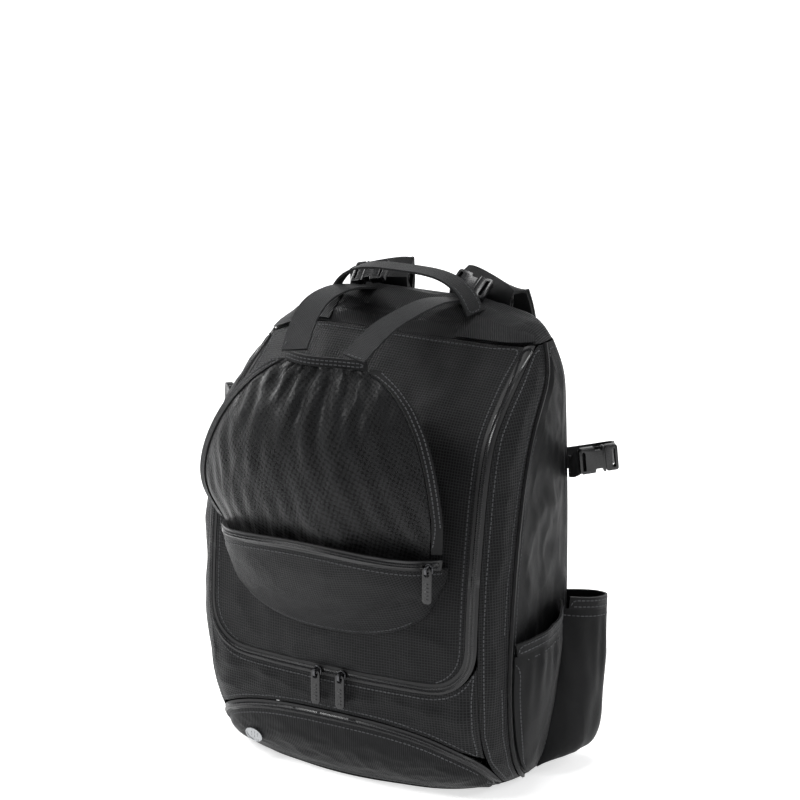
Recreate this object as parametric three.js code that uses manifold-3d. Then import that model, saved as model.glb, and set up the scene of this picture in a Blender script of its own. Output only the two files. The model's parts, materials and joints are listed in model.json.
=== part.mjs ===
// A backpack for baseball gear: a sewn hollow bag with a zipped door, a helmet net, bat sleeves and
// bottle pockets.
// Lengths are in millimetres. +Z is up, -Y is the front and the origin is on the ground under the
// bag's middle.
import * as THREE from "three";
import { mergeVertices } from "three/addons/utils/BufferGeometryUtils.js";
import Module from "manifold-3d";

const wasm = await Module();
wasm.setup();

// The bag's overall sizes, with the drop of its slack left shoulder
const bodyHeight = 438;
const bodyWidth = 326;
const bodyDepth = 178;
const backPlane = 80;
const frontCorner = 42;
const frontBulge = 8;
const backCorner = 20;
const shoulderDrop = 26;
const dropFrom = 76;
const dropReach = 85;
const dropHeight = 110;
const dropTop = 38;
const dropBase = bodyHeight - dropTop - dropHeight;

// Walls and clearances
const clearance = 0.3;
const seamGap = clearance;
const clothWall = 2;
const paddedWall = 5;
const backPadding = 9;
const baseWall = 3;
const netWall = 1.2;
const webbingWall = 2;

// The back's padding channel and the columns that its panel is laid out in
const backChannel = 3;
const backColumns = 12;

// The door and its zip
const doorHalfWidth = 134;
const doorBottom = 118;
const doorCorner = 36;
const doorPuff = 2.5;
const doorProud = 3;
const yokeDepth = 25;
const yokeSeam = bodyHeight - yokeDepth;
const zipWidth = 11;
const zipWall = 1.6;
const coilRise = 1.6;

// The yoke's side flaps
const flapHeight = 13;
const flapWall = 0.6;
const flapRise = 2.7;
const flapTip = 4;
const flapFrom = 0.5;
const flapReach = 0.975;
const flapRows = 8;
const flapColumns = 3;

// The side seam and its piping
const pipingRadius = 2.2;
const pipingRise = 0.6;
const sidePanelProud = 1.2;

// The shoe compartment
const shoeReach = 150;
const shoeHeight = 62;
const shoeCurve = 2.5;
const shoePuff = 5;
const shoeWall = 3;
const shoeZipWidth = 10;
const archGap = 1.2;
const archSteps = 20;

// The helmet net, given by its widest half width, its stand-off and its hem
const netDrop = 5;
const netTall = 210;
const netTop = yokeSeam - netDrop;
const netBottom = netTop - netTall;
const netHalfWidth = 129;
const netEdgeY = -111;
const netBelly = 43;
const netGather = 2.6;
const netGathers = 7;
const bindingWidth = 10;
const bindingWall = 2.6;
const hemWidth = 9;

// The stow pocket below the net
const pouchHalfWidth = 117;
const pouchBottom = 156;
const pouchMouthAbove = 34;
const pouchMouth = netBottom + pouchMouthAbove;
const pouchMouthRise = 15;
const pouchLeast = 8;
const pouchBelly = 58;
const stowZipWidth = 9;
const stowZipWall = 2.4;

// Webbing, the padded straps and the carry handle
const webbingWidth = 25;
const strapWidth = 64;
const strapWall = 12;
const strapSpread = 54;
const strapLoop = 24;
const strapSeat = backPlane + strapWall / 2 + clearance;
const webLow = 30;
const webInset = 60;
const lockWidth = 34;
const lockHeight = 26;
const lockWall = 4;
const lockBar = 4;
const lockSlotHeight = 7;
const helmetStrapArch = 11;
const handleHalf = 76;
const handleRise = 34;

// Side pockets
const pocketTop = 150;
const pocketBottom = 12;
const pocketBelly = 17;
const pocketWall = 1.4;
const sleeveTop = 154;
const sleeveBottom = 10;
const sleeveBelly = 34;
const sleeveGap = 3;
const sleevePleat = 1.1;
const pocketHem = 12;
const pocketHemWall = 2.2;

// The bat loops above the sleeves
const batStrapZ = 304;
const batWebbing = 20;
const batReach = 40;
const batMiddle = 70;
const batHalfSpan = 23;

// Buckles and their places
const buckleLength = 36;
const strapBuckle = 20;
const buckleWall = 7;
const buckleAbove = 12.4;
const buckleZ = bodyHeight + buckleAbove;
const buckleY = 69;
const buckleX = 54;

// Zip sliders and their pulls
const sliderLength = 10;
const sliderWidth = 8;
const sliderWall = 3;
const bailSpan = 4.6;
const bailThickness = 2.4;
const bailRise = 5.2;
const bailWall = 1.4;
const hingeRise = 4;
const pullLength = 34;
const pullWidth = 9.5;
const pullWall = 2.4;
const mainSliderSpread = 13;
const stowSliderShare = 0.955;

// The badge
const badgeWidth = 19;
const badgeHeight = 15;
const badgeWall = 1.4;
const badgeX = 93;
const badgeZ = 28;

const halfWidth = bodyWidth / 2;
const V = (x, y, z) => new THREE.Vector3(x, y, z);

// Level sections of the bag, as shares of its height, half width, depth, front corner and front bulge
const levels = [
  { height: 0, width: 0.905, depth: 0.855, corner: 2.05, bulge: 1 },
  { height: 0.032, width: 0.962, depth: 0.925, corner: 1.85, bulge: 1 },
  { height: 0.137, width: 0.99, depth: 0.978, corner: 1.3, bulge: 1 },
  { height: 0.251, width: 1, depth: 0.994, corner: 1.08, bulge: 1 },
  { height: 0.365, width: 1, depth: 1, corner: 1, bulge: 1 },
  { height: 0.457, width: 1, depth: 0.989, corner: 1, bulge: 1 },
  { height: 0.548, width: 1, depth: 0.955, corner: 0.95, bulge: 1 },
  { height: 0.685, width: 0.988, depth: 0.888, corner: 0.86, bulge: 0.75 },
  { height: 0.799, width: 0.975, depth: 0.787, corner: 0.81, bulge: 0.6 },
  { height: 0.863, width: 0.966, depth: 0.607, corner: 0.71, bulge: 0.5 },
  { height: 0.913, width: 0.94, depth: 0.461, corner: 0.67, bulge: 0.5 },
  { height: 0.947, width: 0.875, depth: 0.371, corner: 0.7, bulge: 0.5 },
  { height: 0.973, width: 0.775, depth: 0.287, corner: 0.7, bulge: 0.5 },
  { height: 0.986, width: 0.66, depth: 0.225, corner: 0.5, bulge: 0.4 },
  { height: 0.995, width: 0.51, depth: 0.157, corner: 0.25, bulge: 0.2 },
  { height: 1, width: 0.35, depth: 0.09, corner: 0.12, bulge: 0 },
];

// The side seam's distance in front of the back plane, as a share of the depth, by height
const sideSeam = [
  { height: 0, depth: 0.405 },
  { height: 0.032, depth: 0.541 },
  { height: 0.091, depth: 0.661 },
  { height: 0.215, depth: 0.75 },
  { height: 0.374, depth: 0.75 },
  { height: 0.498, depth: 0.72 },
  { height: 0.598, depth: 0.675 },
  { height: 0.689, depth: 0.605 },
  { height: 0.781, depth: 0.5 },
  { height: 0.849, depth: 0.37 },
  { height: 0.913, depth: 0.23 },
  { height: 0.96, depth: 0.2 },
];

// A smooth curve through one column of a table, by another column
function follow(table, by, column, at) {
  const last = table.length - 1;
  if (at <= table[0][by]) return table[0][column];
  if (at >= table[last][by]) return table[last][column];
  let i = 0;
  while (at > table[i + 1][by]) i += 1;
  const slope = (k) => {
    const a = table[Math.max(k - 1, 0)];
    const b = table[Math.min(k + 1, last)];
    return (b[column] - a[column]) / (b[by] - a[by]);
  };
  const step = table[i + 1][by] - table[i][by];
  const t = (at - table[i][by]) / step;
  const rise = t * t * (3 - 2 * t);
  const out = t * (1 - t) * (1 - t) * slope(i) - t * t * (1 - t) * slope(i + 1);
  return table[i][column] + rise * (table[i + 1][column] - table[i][column]) + out * step;
}

// The right half of one level section, from the front centre round to the back centre
const sectionCache = new Map();
function sectionAt(z) {
  const key = Math.round(z * 100);
  if (sectionCache.has(key)) return sectionCache.get(key);
  const share = z / bodyHeight;
  const wide = halfWidth * follow(levels, "height", "width", share);
  const front = backPlane - bodyDepth * follow(levels, "height", "depth", share);
  const corner = frontCorner * follow(levels, "height", "corner", share);
  const bulge = frontBulge * follow(levels, "height", "bulge", share);
  const rear = Math.min(backCorner, (backPlane - front - bulge - corner) * 0.8);
  const points = [];
  const flat = wide - corner;
  for (let i = 0; i < 16; i += 1) {
    const t = i / 16;
    points.push([flat * t, front + bulge * t * t]);
  }
  for (let i = 0; i < 16; i += 1) {
    const a = (i / 16) * (Math.PI / 2);
    points.push([flat + corner * Math.sin(a), front + bulge + corner * (1 - Math.cos(a))]);
  }
  for (let i = 0; i <= 12; i += 1) {
    const a = (i / 12) * (Math.PI / 2);
    points.push([wide - rear * (1 - Math.cos(a)), backPlane - rear * (1 - Math.sin(a))]);
  }
  points.push([0, backPlane]);
  const along = [0];
  for (let i = 1; i < points.length; i += 1) {
    along.push(along[i - 1] + Math.hypot(points[i][0] - points[i - 1][0], points[i][1] - points[i - 1][1]));
  }
  const made = { points, along, length: along[along.length - 1], rearY: backPlane - rear };
  sectionCache.set(key, made);
  return made;
}

// How far the slack left shoulder has sunk at a place
function smoothStep(t) {
  const held = Math.min(1, Math.max(0, t));
  return held * held * (3 - 2 * held);
}
function sunk(x, z) {
  return shoulderDrop * smoothStep((-x - dropFrom) / dropReach) * smoothStep((z - dropBase) / dropHeight);
}

// A point of the section at the distance s from its front centre, to the right if s is positive
function onSection(s, z) {
  const { points, along, length } = sectionAt(z);
  const side = s < 0 ? -1 : 1;
  const want = Math.min(Math.abs(s), length);
  let i = 1;
  while (i < along.length - 1 && along[i] < want) i += 1;
  const t = (want - along[i - 1]) / (along[i] - along[i - 1]);
  const x = points[i - 1][0] + t * (points[i][0] - points[i - 1][0]);
  const y = points[i - 1][1] + t * (points[i][1] - points[i - 1][1]);
  return V(side * x, y, z - sunk(side * x, z));
}

// The distance s at which a section first reaches a given width or a given depth
function distanceWhere(axis, value, z) {
  const { points, along } = sectionAt(z);
  for (let i = 1; i < points.length; i += 1) {
    const a = points[i - 1][axis];
    const b = points[i][axis];
    if (b >= value) return along[i - 1] + (Math.max(value - a, 0) / (b - a)) * (along[i] - along[i - 1]);
  }
  return along[points.length - 1];
}

// The outward direction of the bag's surface
function outward(s, z) {
  const d = 0.7;
  const across = onSection(s + d, z).sub(onSection(s - d, z));
  const low = Math.max(z - d, 0);
  const high = Math.min(z + d, bodyHeight);
  const up = onSection(s, high).sub(onSection(s, low));
  return across.cross(up).normalize();
}

// A point that stands off the bag's surface
function onShell(s, z, standOff = 0) {
  return onSection(s, z).addScaledVector(outward(s, z), standOff);
}

// Turns a list of points and triangles into a geometry whose faces point out
function closedGeometry(points, triangles) {
  let volume = 0;
  for (const [a, b, c] of triangles) volume += points[a].dot(points[b].clone().cross(points[c]));
  const index = volume < 0 ? triangles.flatMap(([a, b, c]) => [a, c, b]) : triangles.flat();
  const geometry = new THREE.BufferGeometry();
  geometry.setAttribute("position", new THREE.Float32BufferAttribute(points.flatMap((p) => p.toArray()), 3));
  geometry.setIndex(index);
  geometry.computeVertexNormals();
  return geometry;
}

// A wall between an outer and an inner grid of points, closed along its rims
function wall(rows, columns, outer, inner) {
  const points = [];
  const outerAt = (i, j) => i * (columns + 1) + j;
  const innerAt = (i, j) => (rows + 1) * (columns + 1) + outerAt(i, j);
  for (const side of [outer, inner]) {
    for (let i = 0; i <= rows; i += 1) {
      for (let j = 0; j <= columns; j += 1) points.push(side(i, j));
    }
  }
  const triangles = [];
  const quad = (a, b, c, d) => triangles.push([a, b, c], [a, c, d]);
  for (let i = 0; i < rows; i += 1) {
    for (let j = 0; j < columns; j += 1) {
      quad(outerAt(i, j), outerAt(i, j + 1), outerAt(i + 1, j + 1), outerAt(i + 1, j));
      quad(innerAt(i, j), innerAt(i + 1, j), innerAt(i + 1, j + 1), innerAt(i, j + 1));
    }
  }
  for (let j = 0; j < columns; j += 1) {
    quad(innerAt(0, j), innerAt(0, j + 1), outerAt(0, j + 1), outerAt(0, j));
    quad(outerAt(rows, j), outerAt(rows, j + 1), innerAt(rows, j + 1), innerAt(rows, j));
  }
  for (let i = 0; i < rows; i += 1) {
    quad(outerAt(i, 0), outerAt(i + 1, 0), innerAt(i + 1, 0), innerAt(i, 0));
    quad(innerAt(i, columns), innerAt(i + 1, columns), outerAt(i + 1, columns), outerAt(i, columns));
  }
  return closedGeometry(points, triangles);
}

// A sewn panel of the shell. Each row runs from one seam to the other in distance and height on the surface.
// Relief says how far a place stands proud.
function panel(fromSeam, toSeam, columns, thickness, relief = () => 0) {
  const rows = fromSeam.length - 1;
  const place = (i, j) => {
    const t = j / columns;
    const s = fromSeam[i][0] + t * (toSeam[i][0] - fromSeam[i][0]);
    const z = fromSeam[i][1] + t * (toSeam[i][1] - fromSeam[i][1]);
    return [s, z, t];
  };
  const outer = (i, j) => {
    const [s, z, t] = place(i, j);
    return onShell(s, z, relief(i / rows, t, s, z));
  };
  const inner = (i, j) => {
    const [s, z, t] = place(i, j);
    return onShell(s, z, Math.min(relief(i / rows, t, s, z), 2) - thickness);
  };
  return wall(rows, columns, outer, inner);
}

// A solid swept along frames, each with a centre, a width direction and a thickness direction
function sweep(frames, profile) {
  const points = [];
  const sides = profile(0).length;
  frames.forEach((frame, i) => {
    for (const [a, n] of profile(i / (frames.length - 1))) {
      points.push(frame.at.clone().addScaledVector(frame.across, a).addScaledVector(frame.out, n));
    }
  });
  const triangles = [];
  for (let i = 0; i < frames.length - 1; i += 1) {
    for (let k = 0; k < sides; k += 1) {
      const a = i * sides + k;
      const b = i * sides + ((k + 1) % sides);
      triangles.push([a, b, b + sides], [a, b + sides, a + sides]);
    }
  }
  const first = points.push(frames[0].at.clone()) - 1;
  const last = points.push(frames[frames.length - 1].at.clone()) - 1;
  const end = (frames.length - 1) * sides;
  for (let k = 0; k < sides; k += 1) {
    const next = (k + 1) % sides;
    triangles.push([first, next, k], [last, end + k, end + next]);
  }
  return closedGeometry(points, triangles);
}

// Frames along a smooth curve through points, with the width held close to a chosen direction
function framesAlong(points, steps, widthDirection) {
  const curve = new THREE.CatmullRomCurve3(points, false, "centripetal");
  const frames = [];
  for (let i = 0; i <= steps; i += 1) {
    const t = i / steps;
    const at = curve.getPointAt(t);
    const forward = curve.getTangentAt(t);
    const wish = typeof widthDirection === "function" ? widthDirection(t) : widthDirection;
    const out = forward.clone().cross(wish).normalize();
    const across = out.clone().cross(forward).normalize();
    frames.push({ at, across, out });
  }
  return frames;
}

const webbingProfile = (width, thickness) => () => [
  [-width / 2, -thickness / 2],
  [width / 2, -thickness / 2],
  [width / 2, thickness / 2],
  [-width / 2, thickness / 2],
];

const roundProfile = (radius, sides) => () =>
  Array.from({ length: sides }, (_, k) => {
    const a = (2 * Math.PI * k) / sides;
    return [radius * Math.cos(a), radius * Math.sin(a)];
  });

// A strap's section, padded in the middle and thin at its bound edges
const paddedProfile = (width, thickness, edge) => (t) => {
  const fade = Math.min(1, 0.35 + 6 * Math.min(t, 1 - t));
  const half = (thickness * fade) / 2;
  const rim = Math.min(edge, half);
  return [
    [-width / 2, -rim],
    [-width * 0.36, -half],
    [width * 0.36, -half],
    [width / 2, -rim],
    [width / 2, rim],
    [width * 0.36, half],
    [-width * 0.36, half],
    [-width / 2, rim],
  ];
};

// A flat outline, with holes, given a thickness centred on its plane
function plate(outline, thickness, holes = [], bevel = 0) {
  const shape = new THREE.Shape(outline.map(([x, y]) => new THREE.Vector2(x, y)));
  for (const hole of holes) shape.holes.push(new THREE.Path(hole.map(([x, y]) => new THREE.Vector2(x, y))));
  const geometry = new THREE.ExtrudeGeometry(shape, {
    depth: thickness - 2 * bevel,
    bevelEnabled: bevel > 0,
    bevelThickness: bevel,
    bevelSize: bevel,
    bevelOffset: -bevel,
    bevelSegments: 1,
    curveSegments: 4,
  });
  return geometry.translate(0, 0, bevel - thickness / 2);
}

// A rectangle with rounded corners, as an outline
function roundedOutline(width, height, radius, steps = 3) {
  const outline = [];
  const corners = [
    [1, 1],
    [-1, 1],
    [-1, -1],
    [1, -1],
  ];
  corners.forEach(([sx, sy], k) => {
    for (let i = 0; i <= steps; i += 1) {
      const a = (Math.PI / 2) * (k + i / steps);
      const x = sx * (width / 2 - radius) + radius * Math.cos(a);
      const y = sy * (height / 2 - radius) + radius * Math.sin(a);
      outline.push([x, y]);
    }
  });
  return outline;
}

// Joins closed solids into one
function joined(geometries) {
  const solids = geometries.map((geometry) => {
    const bare = geometry.clone();
    bare.deleteAttribute("normal");
    bare.deleteAttribute("uv");
    const merged = mergeVertices(bare, 1e-4);
    const triVerts = new Uint32Array(merged.index.array);
    const vertProperties = new Float32Array(merged.attributes.position.array);
    return new wasm.Manifold(new wasm.Mesh({ numProp: 3, vertProperties, triVerts }));
  });
  const mesh = solids.reduce((a, b) => a.add(b)).getMesh();
  const made = new THREE.BufferGeometry();
  made.setAttribute("position", new THREE.BufferAttribute(mesh.vertProperties, 3));
  made.setIndex(new THREE.BufferAttribute(mesh.triVerts, 1));
  made.computeVertexNormals();
  return made;
}

// The finishes
const finish = (color, roughness, metalness = 0) => {
  return new THREE.MeshStandardMaterial({ color, roughness, metalness });
};
const finishes = {
  ripstop: () => finish(0x17181a, 0.62),
  ribbed: () => finish(0x151618, 0.66),
  nylon: () => finish(0x1a1b1d, 0.55),
  binding: () => finish(0x101113, 0.75),
  net: () => finish(0x0e0f10, 0.8),
  webbing: () => finish(0x1c1d1f, 0.7),
  zip: () => finish(0x0c0d0e, 0.5),
  plastic: () => finish(0x0a0b0c, 0.28),
  slider: () => finish(0x2a2b2d, 0.3, 0.9),
  silver: () => finish(0xc9cbcd, 0.3, 0.95),
};

const bag = new THREE.Group();
function add(name, geometry, material, placed = null) {
  const mesh = new THREE.Mesh(geometry, material());
  mesh.name = name;
  if (placed) mesh.applyMatrix4(placed);
  bag.add(mesh);
  return mesh;
}
const sides = [
  { name: "left", sign: -1 },
  { name: "right", sign: 1 },
];

// The seams, as distances on the surface at a height
const shellBottom = baseWall + clearance;
const shellTop = yokeSeam - seamGap;
const doorEdge = (z) => distanceWhere(0, doorHalfWidth, z);
const seamY = (z) => backPlane - bodyDepth * follow(sideSeam, "height", "depth", z / bodyHeight);
const pipingAt = (z) => distanceWhere(1, seamY(z), z);
const backSeam = (z) => distanceWhere(1, sectionAt(z).rearY, z);
// The seam slants, so the gap beside the piping is measured level but kept square to it
const pipingGap = (z) => (pipingRadius + clearance) * Math.hypot(1.05, (seamY(z + 1) - seamY(z - 1)) / 2);

// Heights of the panels' rows between two heights, closer together where the bag curves over
function rowsBetween(low, high) {
  const steps = [0.03, 0.08, 0.16, 0.28, 0.4, 0.52, 0.63, 0.72, 0.79, 0.84, 0.89, 0.94];
  const inside = steps.map((share) => share * yokeSeam).filter((z) => z > low + 3 && z < high - 3);
  return [low, ...inside, high];
}

// The door's edge from the top right, round the bottom, to the top left, and the way out from the door
const bottomReach = doorEdge(doorBottom) - doorCorner;
function doorPath() {
  const right = [];
  for (const z of rowsBetween(doorBottom + doorCorner, shellTop).reverse()) {
    right.push({ s: doorEdge(z), z, away: [1, 0] });
  }
  const cornerSteps = 5;
  for (let i = 1; i <= cornerSteps; i += 1) {
    const a = (i / cornerSteps) * (Math.PI / 2);
    const s = bottomReach + doorCorner * Math.cos(a);
    const z = doorBottom + doorCorner * (1 - Math.sin(a));
    right.push({ s, z, away: [Math.cos(a), -Math.sin(a)] });
  }
  const bottomSteps = 3;
  for (let i = 1; i < bottomSteps; i += 1) {
    right.push({ s: bottomReach * (1 - i / bottomSteps), z: doorBottom, away: [0, -1] });
  }
  right.push({ s: 0, z: doorBottom, away: [0, -1] });
  const left = right
    .slice(0, -1)
    .reverse()
    .map(({ s, z, away }) => ({ s: -s, z, away: [-away[0], away[1]] }));
  return [...right, ...left];
}
const beside = (step, distance) => [step.s + step.away[0] * distance, step.z + step.away[1] * distance];

// The door, puffed a little between its seams
function makeDoor() {
  const path = doorPath().filter((step) => step.s > 0);
  const edge = [...path].reverse().filter((step) => step.s >= bottomReach - 0.01);
  const right = edge.map(({ s, z }) => [s, z]);
  const left = right.map(([s, z]) => [-s, z]);
  const puff = (rowShare, t) => doorPuff * Math.sin(Math.PI * t) * Math.min(1, rowShare * 5);
  add("door_panel", panel(left, right, 9, paddedWall, puff), finishes.ripstop);
}

// A zip: two tapes with a raised coil between them
function zipBand(steps, inner, outer) {
  const rise = (rowShare, t) => 0.4 + coilRise * Math.sin(Math.PI * t) ** 2;
  const near = steps.map((step) => beside(step, inner));
  const far = steps.map((step) => beside(step, outer));
  return panel(near, far, 2, zipWall, rise);
}

function makeMainZip() {
  add("main_zip", zipBand(doorPath(), seamGap, zipWidth), finishes.zip);
}

// The shoe compartment's arch in distance and height, and the direction away from the flap
function archPath(steps) {
  const path = [];
  const first = Math.asin(((shellBottom + 3) / shoeHeight) ** (shoeCurve / 2));
  for (let i = 0; i <= steps; i += 1) {
    const a = first + (i / steps) * (Math.PI - 2 * first);
    const c = Math.cos(a);
    const s = Math.sign(c) * shoeReach * Math.abs(c) ** (2 / shoeCurve);
    const z = shoeHeight * Math.sin(a) ** (2 / shoeCurve);
    const ds = Math.sign(c) * (Math.abs(s) / shoeReach) ** (shoeCurve - 1) / shoeReach;
    const dz = (z / shoeHeight) ** (shoeCurve - 1) / shoeHeight;
    const size = Math.hypot(ds, dz);
    path.push({ s, z, away: [ds / size, dz / size] });
  }
  return path;
}

// The height of the shoe zip's outer edge over a place, and the reach of that edge at a height
function overArch(s) {
  const share = Math.min(Math.abs(s) / (shoeReach + shoeZipWidth), 1);
  return (shoeHeight + shoeZipWidth) * (1 - share ** shoeCurve) ** (1 / shoeCurve);
}
function besideArch(z) {
  const share = Math.min(z / (shoeHeight + shoeZipWidth), 1);
  return (shoeReach + shoeZipWidth) * (1 - share ** shoeCurve) ** (1 / shoeCurve);
}

function makeShoeCompartment() {
  const path = archPath(archSteps);
  const top = path.map(({ s, z }) => [s, z]);
  const bottom = path.map(({ s }) => [s * 0.985, shellBottom]);
  const puff = (rowShare, t) => shoePuff * Math.sin(Math.PI * t) * Math.sin(Math.PI * rowShare) ** 0.5;
  add("shoe_flap", panel(bottom, top, 3, shoeWall, puff), finishes.ribbed);
  add("shoe_zip", zipBand(path, seamGap, shoeZipWidth - seamGap), finishes.zip);
}

// The band between the door's zip and the shoe zip
function makeFrontLower() {
  const steps = doorPath().filter((step) => step.away[1] < -0.05);
  const upper = steps.map((step) => beside(step, zipWidth + seamGap));
  const lower = upper.map(([s]) => [s, overArch(s) + archGap]);
  const sag = (rowShare, t, s) => 1.6 * Math.sin(Math.PI * t) * (1 + 0.5 * Math.sin(s / 17));
  add("front_lower", panel(lower, upper, 3, clothWall, sag), finishes.ripstop);
}

// The gusset between the door's zip and the piping
function makeGussets() {
  const outside = doorEdge(doorBottom) + zipWidth + 2 * seamGap;
  const nearSeam = (z) => {
    const beyondZip = z > doorBottom + doorCorner ? doorEdge(z) + zipWidth + 2 * seamGap : outside;
    return Math.max(beyondZip, besideArch(z) + archGap);
  };
  for (const side of sides) {
    const rows = rowsBetween(shellBottom, shellTop);
    const near = rows.map((z) => [side.sign * nearSeam(z), z]);
    const far = rows.map((z) => [side.sign * (pipingAt(z) - pipingGap(z)), z]);
    add(`gusset_${side.name}`, panel(near, far, 2, clothWall), finishes.ripstop);
  }
}

function makePiping() {
  for (const side of sides) {
    const heights = rowsBetween(shellBottom + 1, shellTop);
    const points = heights.map((z) => onShell(side.sign * pipingAt(z), z, pipingRise));
    const frames = points.map((at, i) => {
      const before = points[Math.max(i - 1, 0)];
      const after = points[Math.min(i + 1, points.length - 1)];
      const forward = after.clone().sub(before).normalize();
      const out = V(side.sign, -0.6, 0).cross(forward).normalize();
      return { at, out, across: out.clone().cross(forward).normalize() };
    });
    add(`piping_${side.name}`, sweep(frames, roundProfile(pipingRadius, 6)), finishes.binding);
  }
}

// Soft diagonal wrinkles of the side panels
const wrinkles = [
  { height: 0.78, depth: 0.45, reach: 34, rise: 1.6, slant: 0.9 },
  { height: 0.62, depth: 0.3, reach: 40, rise: 2, slant: 1.1 },
  { height: 0.46, depth: 0.5, reach: 30, rise: -1.6, slant: -0.6 },
];
function wrinkle(share, z) {
  let rise = 0;
  for (const fold of wrinkles) {
    const along = (z - fold.height * bodyHeight) / fold.reach;
    const across = (share - fold.depth) * 3 + along * fold.slant;
    rise += fold.rise * Math.exp(-along * along - across * across * 4);
  }
  return rise;
}

function makeSides() {
  for (const side of sides) {
    const rows = rowsBetween(shellBottom, shellTop);
    const near = rows.map((z) => [side.sign * (pipingAt(z) + pipingGap(z)), z]);
    const far = rows.map((z) => [side.sign * (backSeam(z) - seamGap), z]);
    const relief = (rowShare, t, s, z) => Math.sin(Math.PI * t) * wrinkle(t, z);
    add(`side_panel_${side.name}`, panel(near, far, 5, clothWall, relief), finishes.nylon);
  }
}

// The padded back, with a channel down its middle
function makeBack() {
  const rows = rowsBetween(shellBottom, shellTop).filter((z, i, all) => i % 2 === 0 || i > all.length - 4);
  const left = rows.map((z) => [backSeam(z) + seamGap, z]);
  const points = (side) => (i, j) => {
    const columns = backColumns;
    const z = left[i][1];
    const total = sectionAt(z).length;
    const t = j / columns;
    const start = left[i][0];
    const s = t <= 0.5 ? start + 2 * t * (total - start) : -(total - (2 * t - 1) * (total - start));
    const channel = backChannel * Math.exp(-(((t - 0.5) / 0.06) ** 2));
    const at = t === 0.5 ? V(0, backPlane, z) : onSection(s, z);
    const out = t === 0.5 ? V(0, 1, 0) : outward(s, z);
    return at.addScaledVector(out, side === "outer" ? -channel : -backPadding);
  };
  add("back_panel", wall(rows.length - 1, backColumns, points("outer"), points("inner")), finishes.nylon);
}

function makeBase() {
  const outline = [];
  const count = 36;
  const total = sectionAt(0).length;
  for (let i = 0; i < count; i += 1) {
    const s = ((i + 0.5) / count) * 2 * total - total;
    const p = onSection(s, 0);
    outline.push([p.x, p.y]);
  }
  add("base_panel", plate(outline, baseWall).translate(0, 0, baseWall / 2), finishes.nylon);
}

// The yoke closes the top, as a shallow cup turned over
function makeYoke() {
  const low = yokeSeam + 3 * seamGap;
  const shares = [0, 0.34, 0.64, 0.86, 1];
  const rows = shares.map((share) => low + share * (bodyHeight - 0.4 - low));
  const total = sectionAt(low).length;
  const marks = [];
  for (let i = 0; i < 5; i += 1) marks.push((i / 5) * doorEdge(shellTop));
  const zipOut = doorEdge(shellTop) + zipWidth;
  const seam = pipingAt(shellTop);
  const back = backSeam(shellTop);
  marks.push(doorEdge(shellTop), zipOut, (zipOut + seam) / 2, seam, (seam + back) / 2, back);
  for (let i = 1; i < 6; i += 1) marks.push(back + (i / 6) * (total - back));
  const loop = [...marks, total, ...marks.slice(1).reverse().map((s) => -s)];
  const columns = loop.length;
  const points = [];
  const ring = (z, standOff) => {
    const scale = sectionAt(z).length / total;
    for (const s of loop) {
      const at = onSection(s * scale, z);
      const out = s === 0 ? outward(0.001, z) : outward(s * scale * (s === total ? 0.999 : 1), z);
      points.push(at.addScaledVector(out, standOff));
    }
  };
  rows.forEach((z) => ring(z, 0));
  const roofY = (sectionAt(bodyHeight).points[0][1] + backPlane) / 2;
  const roofOut = points.push(V(0, roofY, bodyHeight)) - 1;
  const innerStart = points.length;
  rows.forEach((z) => ring(z, -clothWall));
  const roofIn = points.push(V(0, roofY, bodyHeight - clothWall)) - 1;
  const triangles = [];
  for (let i = 0; i < rows.length - 1; i += 1) {
    for (let k = 0; k < columns; k += 1) {
      const a = i * columns + k;
      const b = i * columns + ((k + 1) % columns);
      triangles.push([a, b, b + columns], [a, b + columns, a + columns]);
      const c = innerStart + a;
      const d = innerStart + b;
      triangles.push([c, d + columns, d], [c, c + columns, d + columns]);
    }
  }
  const top = (rows.length - 1) * columns;
  for (let k = 0; k < columns; k += 1) {
    const next = (k + 1) % columns;
    triangles.push([top + k, top + next, roofOut]);
    triangles.push([innerStart + top + next, innerStart + top + k, roofIn]);
    triangles.push([k, innerStart + k, innerStart + next], [k, innerStart + next, next]);
  }
  add("top_yoke", closedGeometry(points, triangles), finishes.ribbed);
}

// The helmet net's surface: share u runs from its left edge, -1, to its right edge, 1, and height up to
// the hem. Right is how far its right edge reaches at the same height, as a share of its left edge's reach.
const netLevels = [
  { height: 0, width: 0.76, right: 1, edge: 0.8365, belly: 0.24 },
  { height: 0.1, width: 0.78, right: 1, edge: 0.9, belly: 0.48 },
  { height: 0.2, width: 0.815, right: 1, edge: 0.935, belly: 0.7 },
  { height: 0.38, width: 1, right: 0.86, edge: 0.99, belly: 0.97 },
  { height: 0.56, width: 0.94, right: 0.875, edge: 1.01, belly: 1 },
  { height: 0.7, width: 0.84, right: 0.915, edge: 1.01, belly: 0.93 },
  { height: 0.84, width: 0.67, right: 0.98, edge: 0.985, belly: 0.72 },
  { height: 0.94, width: 0.49, right: 1.03, edge: 0.955, belly: 0.42 },
  { height: 1, width: 0.33, right: 1, edge: 0.93, belly: 0.2 },
];
function onNet(u, share, standOff = 0) {
  const level = (column) => follow(netLevels, "height", column, share);
  const half = netHalfWidth * level("width") * (u > 0 ? level("right") : 1);
  const edge = netEdgeY * level("edge");
  const belly = netBelly * level("belly");
  const crown = 1 - Math.abs(u) ** 2.2;
  const gatherFade = Math.max(0, (share - 0.45) / 0.55) ** 1.3 + 0.18;
  const gather = netGather * gatherFade * Math.sin(netGathers * Math.PI * u) * crown ** 0.5;
  const at = V(half * u, edge - belly * crown - gather, netBottom + share * (netTop - netBottom));
  return at.add(V(u * 0.45 * standOff, -standOff, 0));
}
const netShares = [0, 0.11, 0.24, 0.36, 0.49, 0.62, 0.75, 0.86, 0.94, 1];

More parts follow.
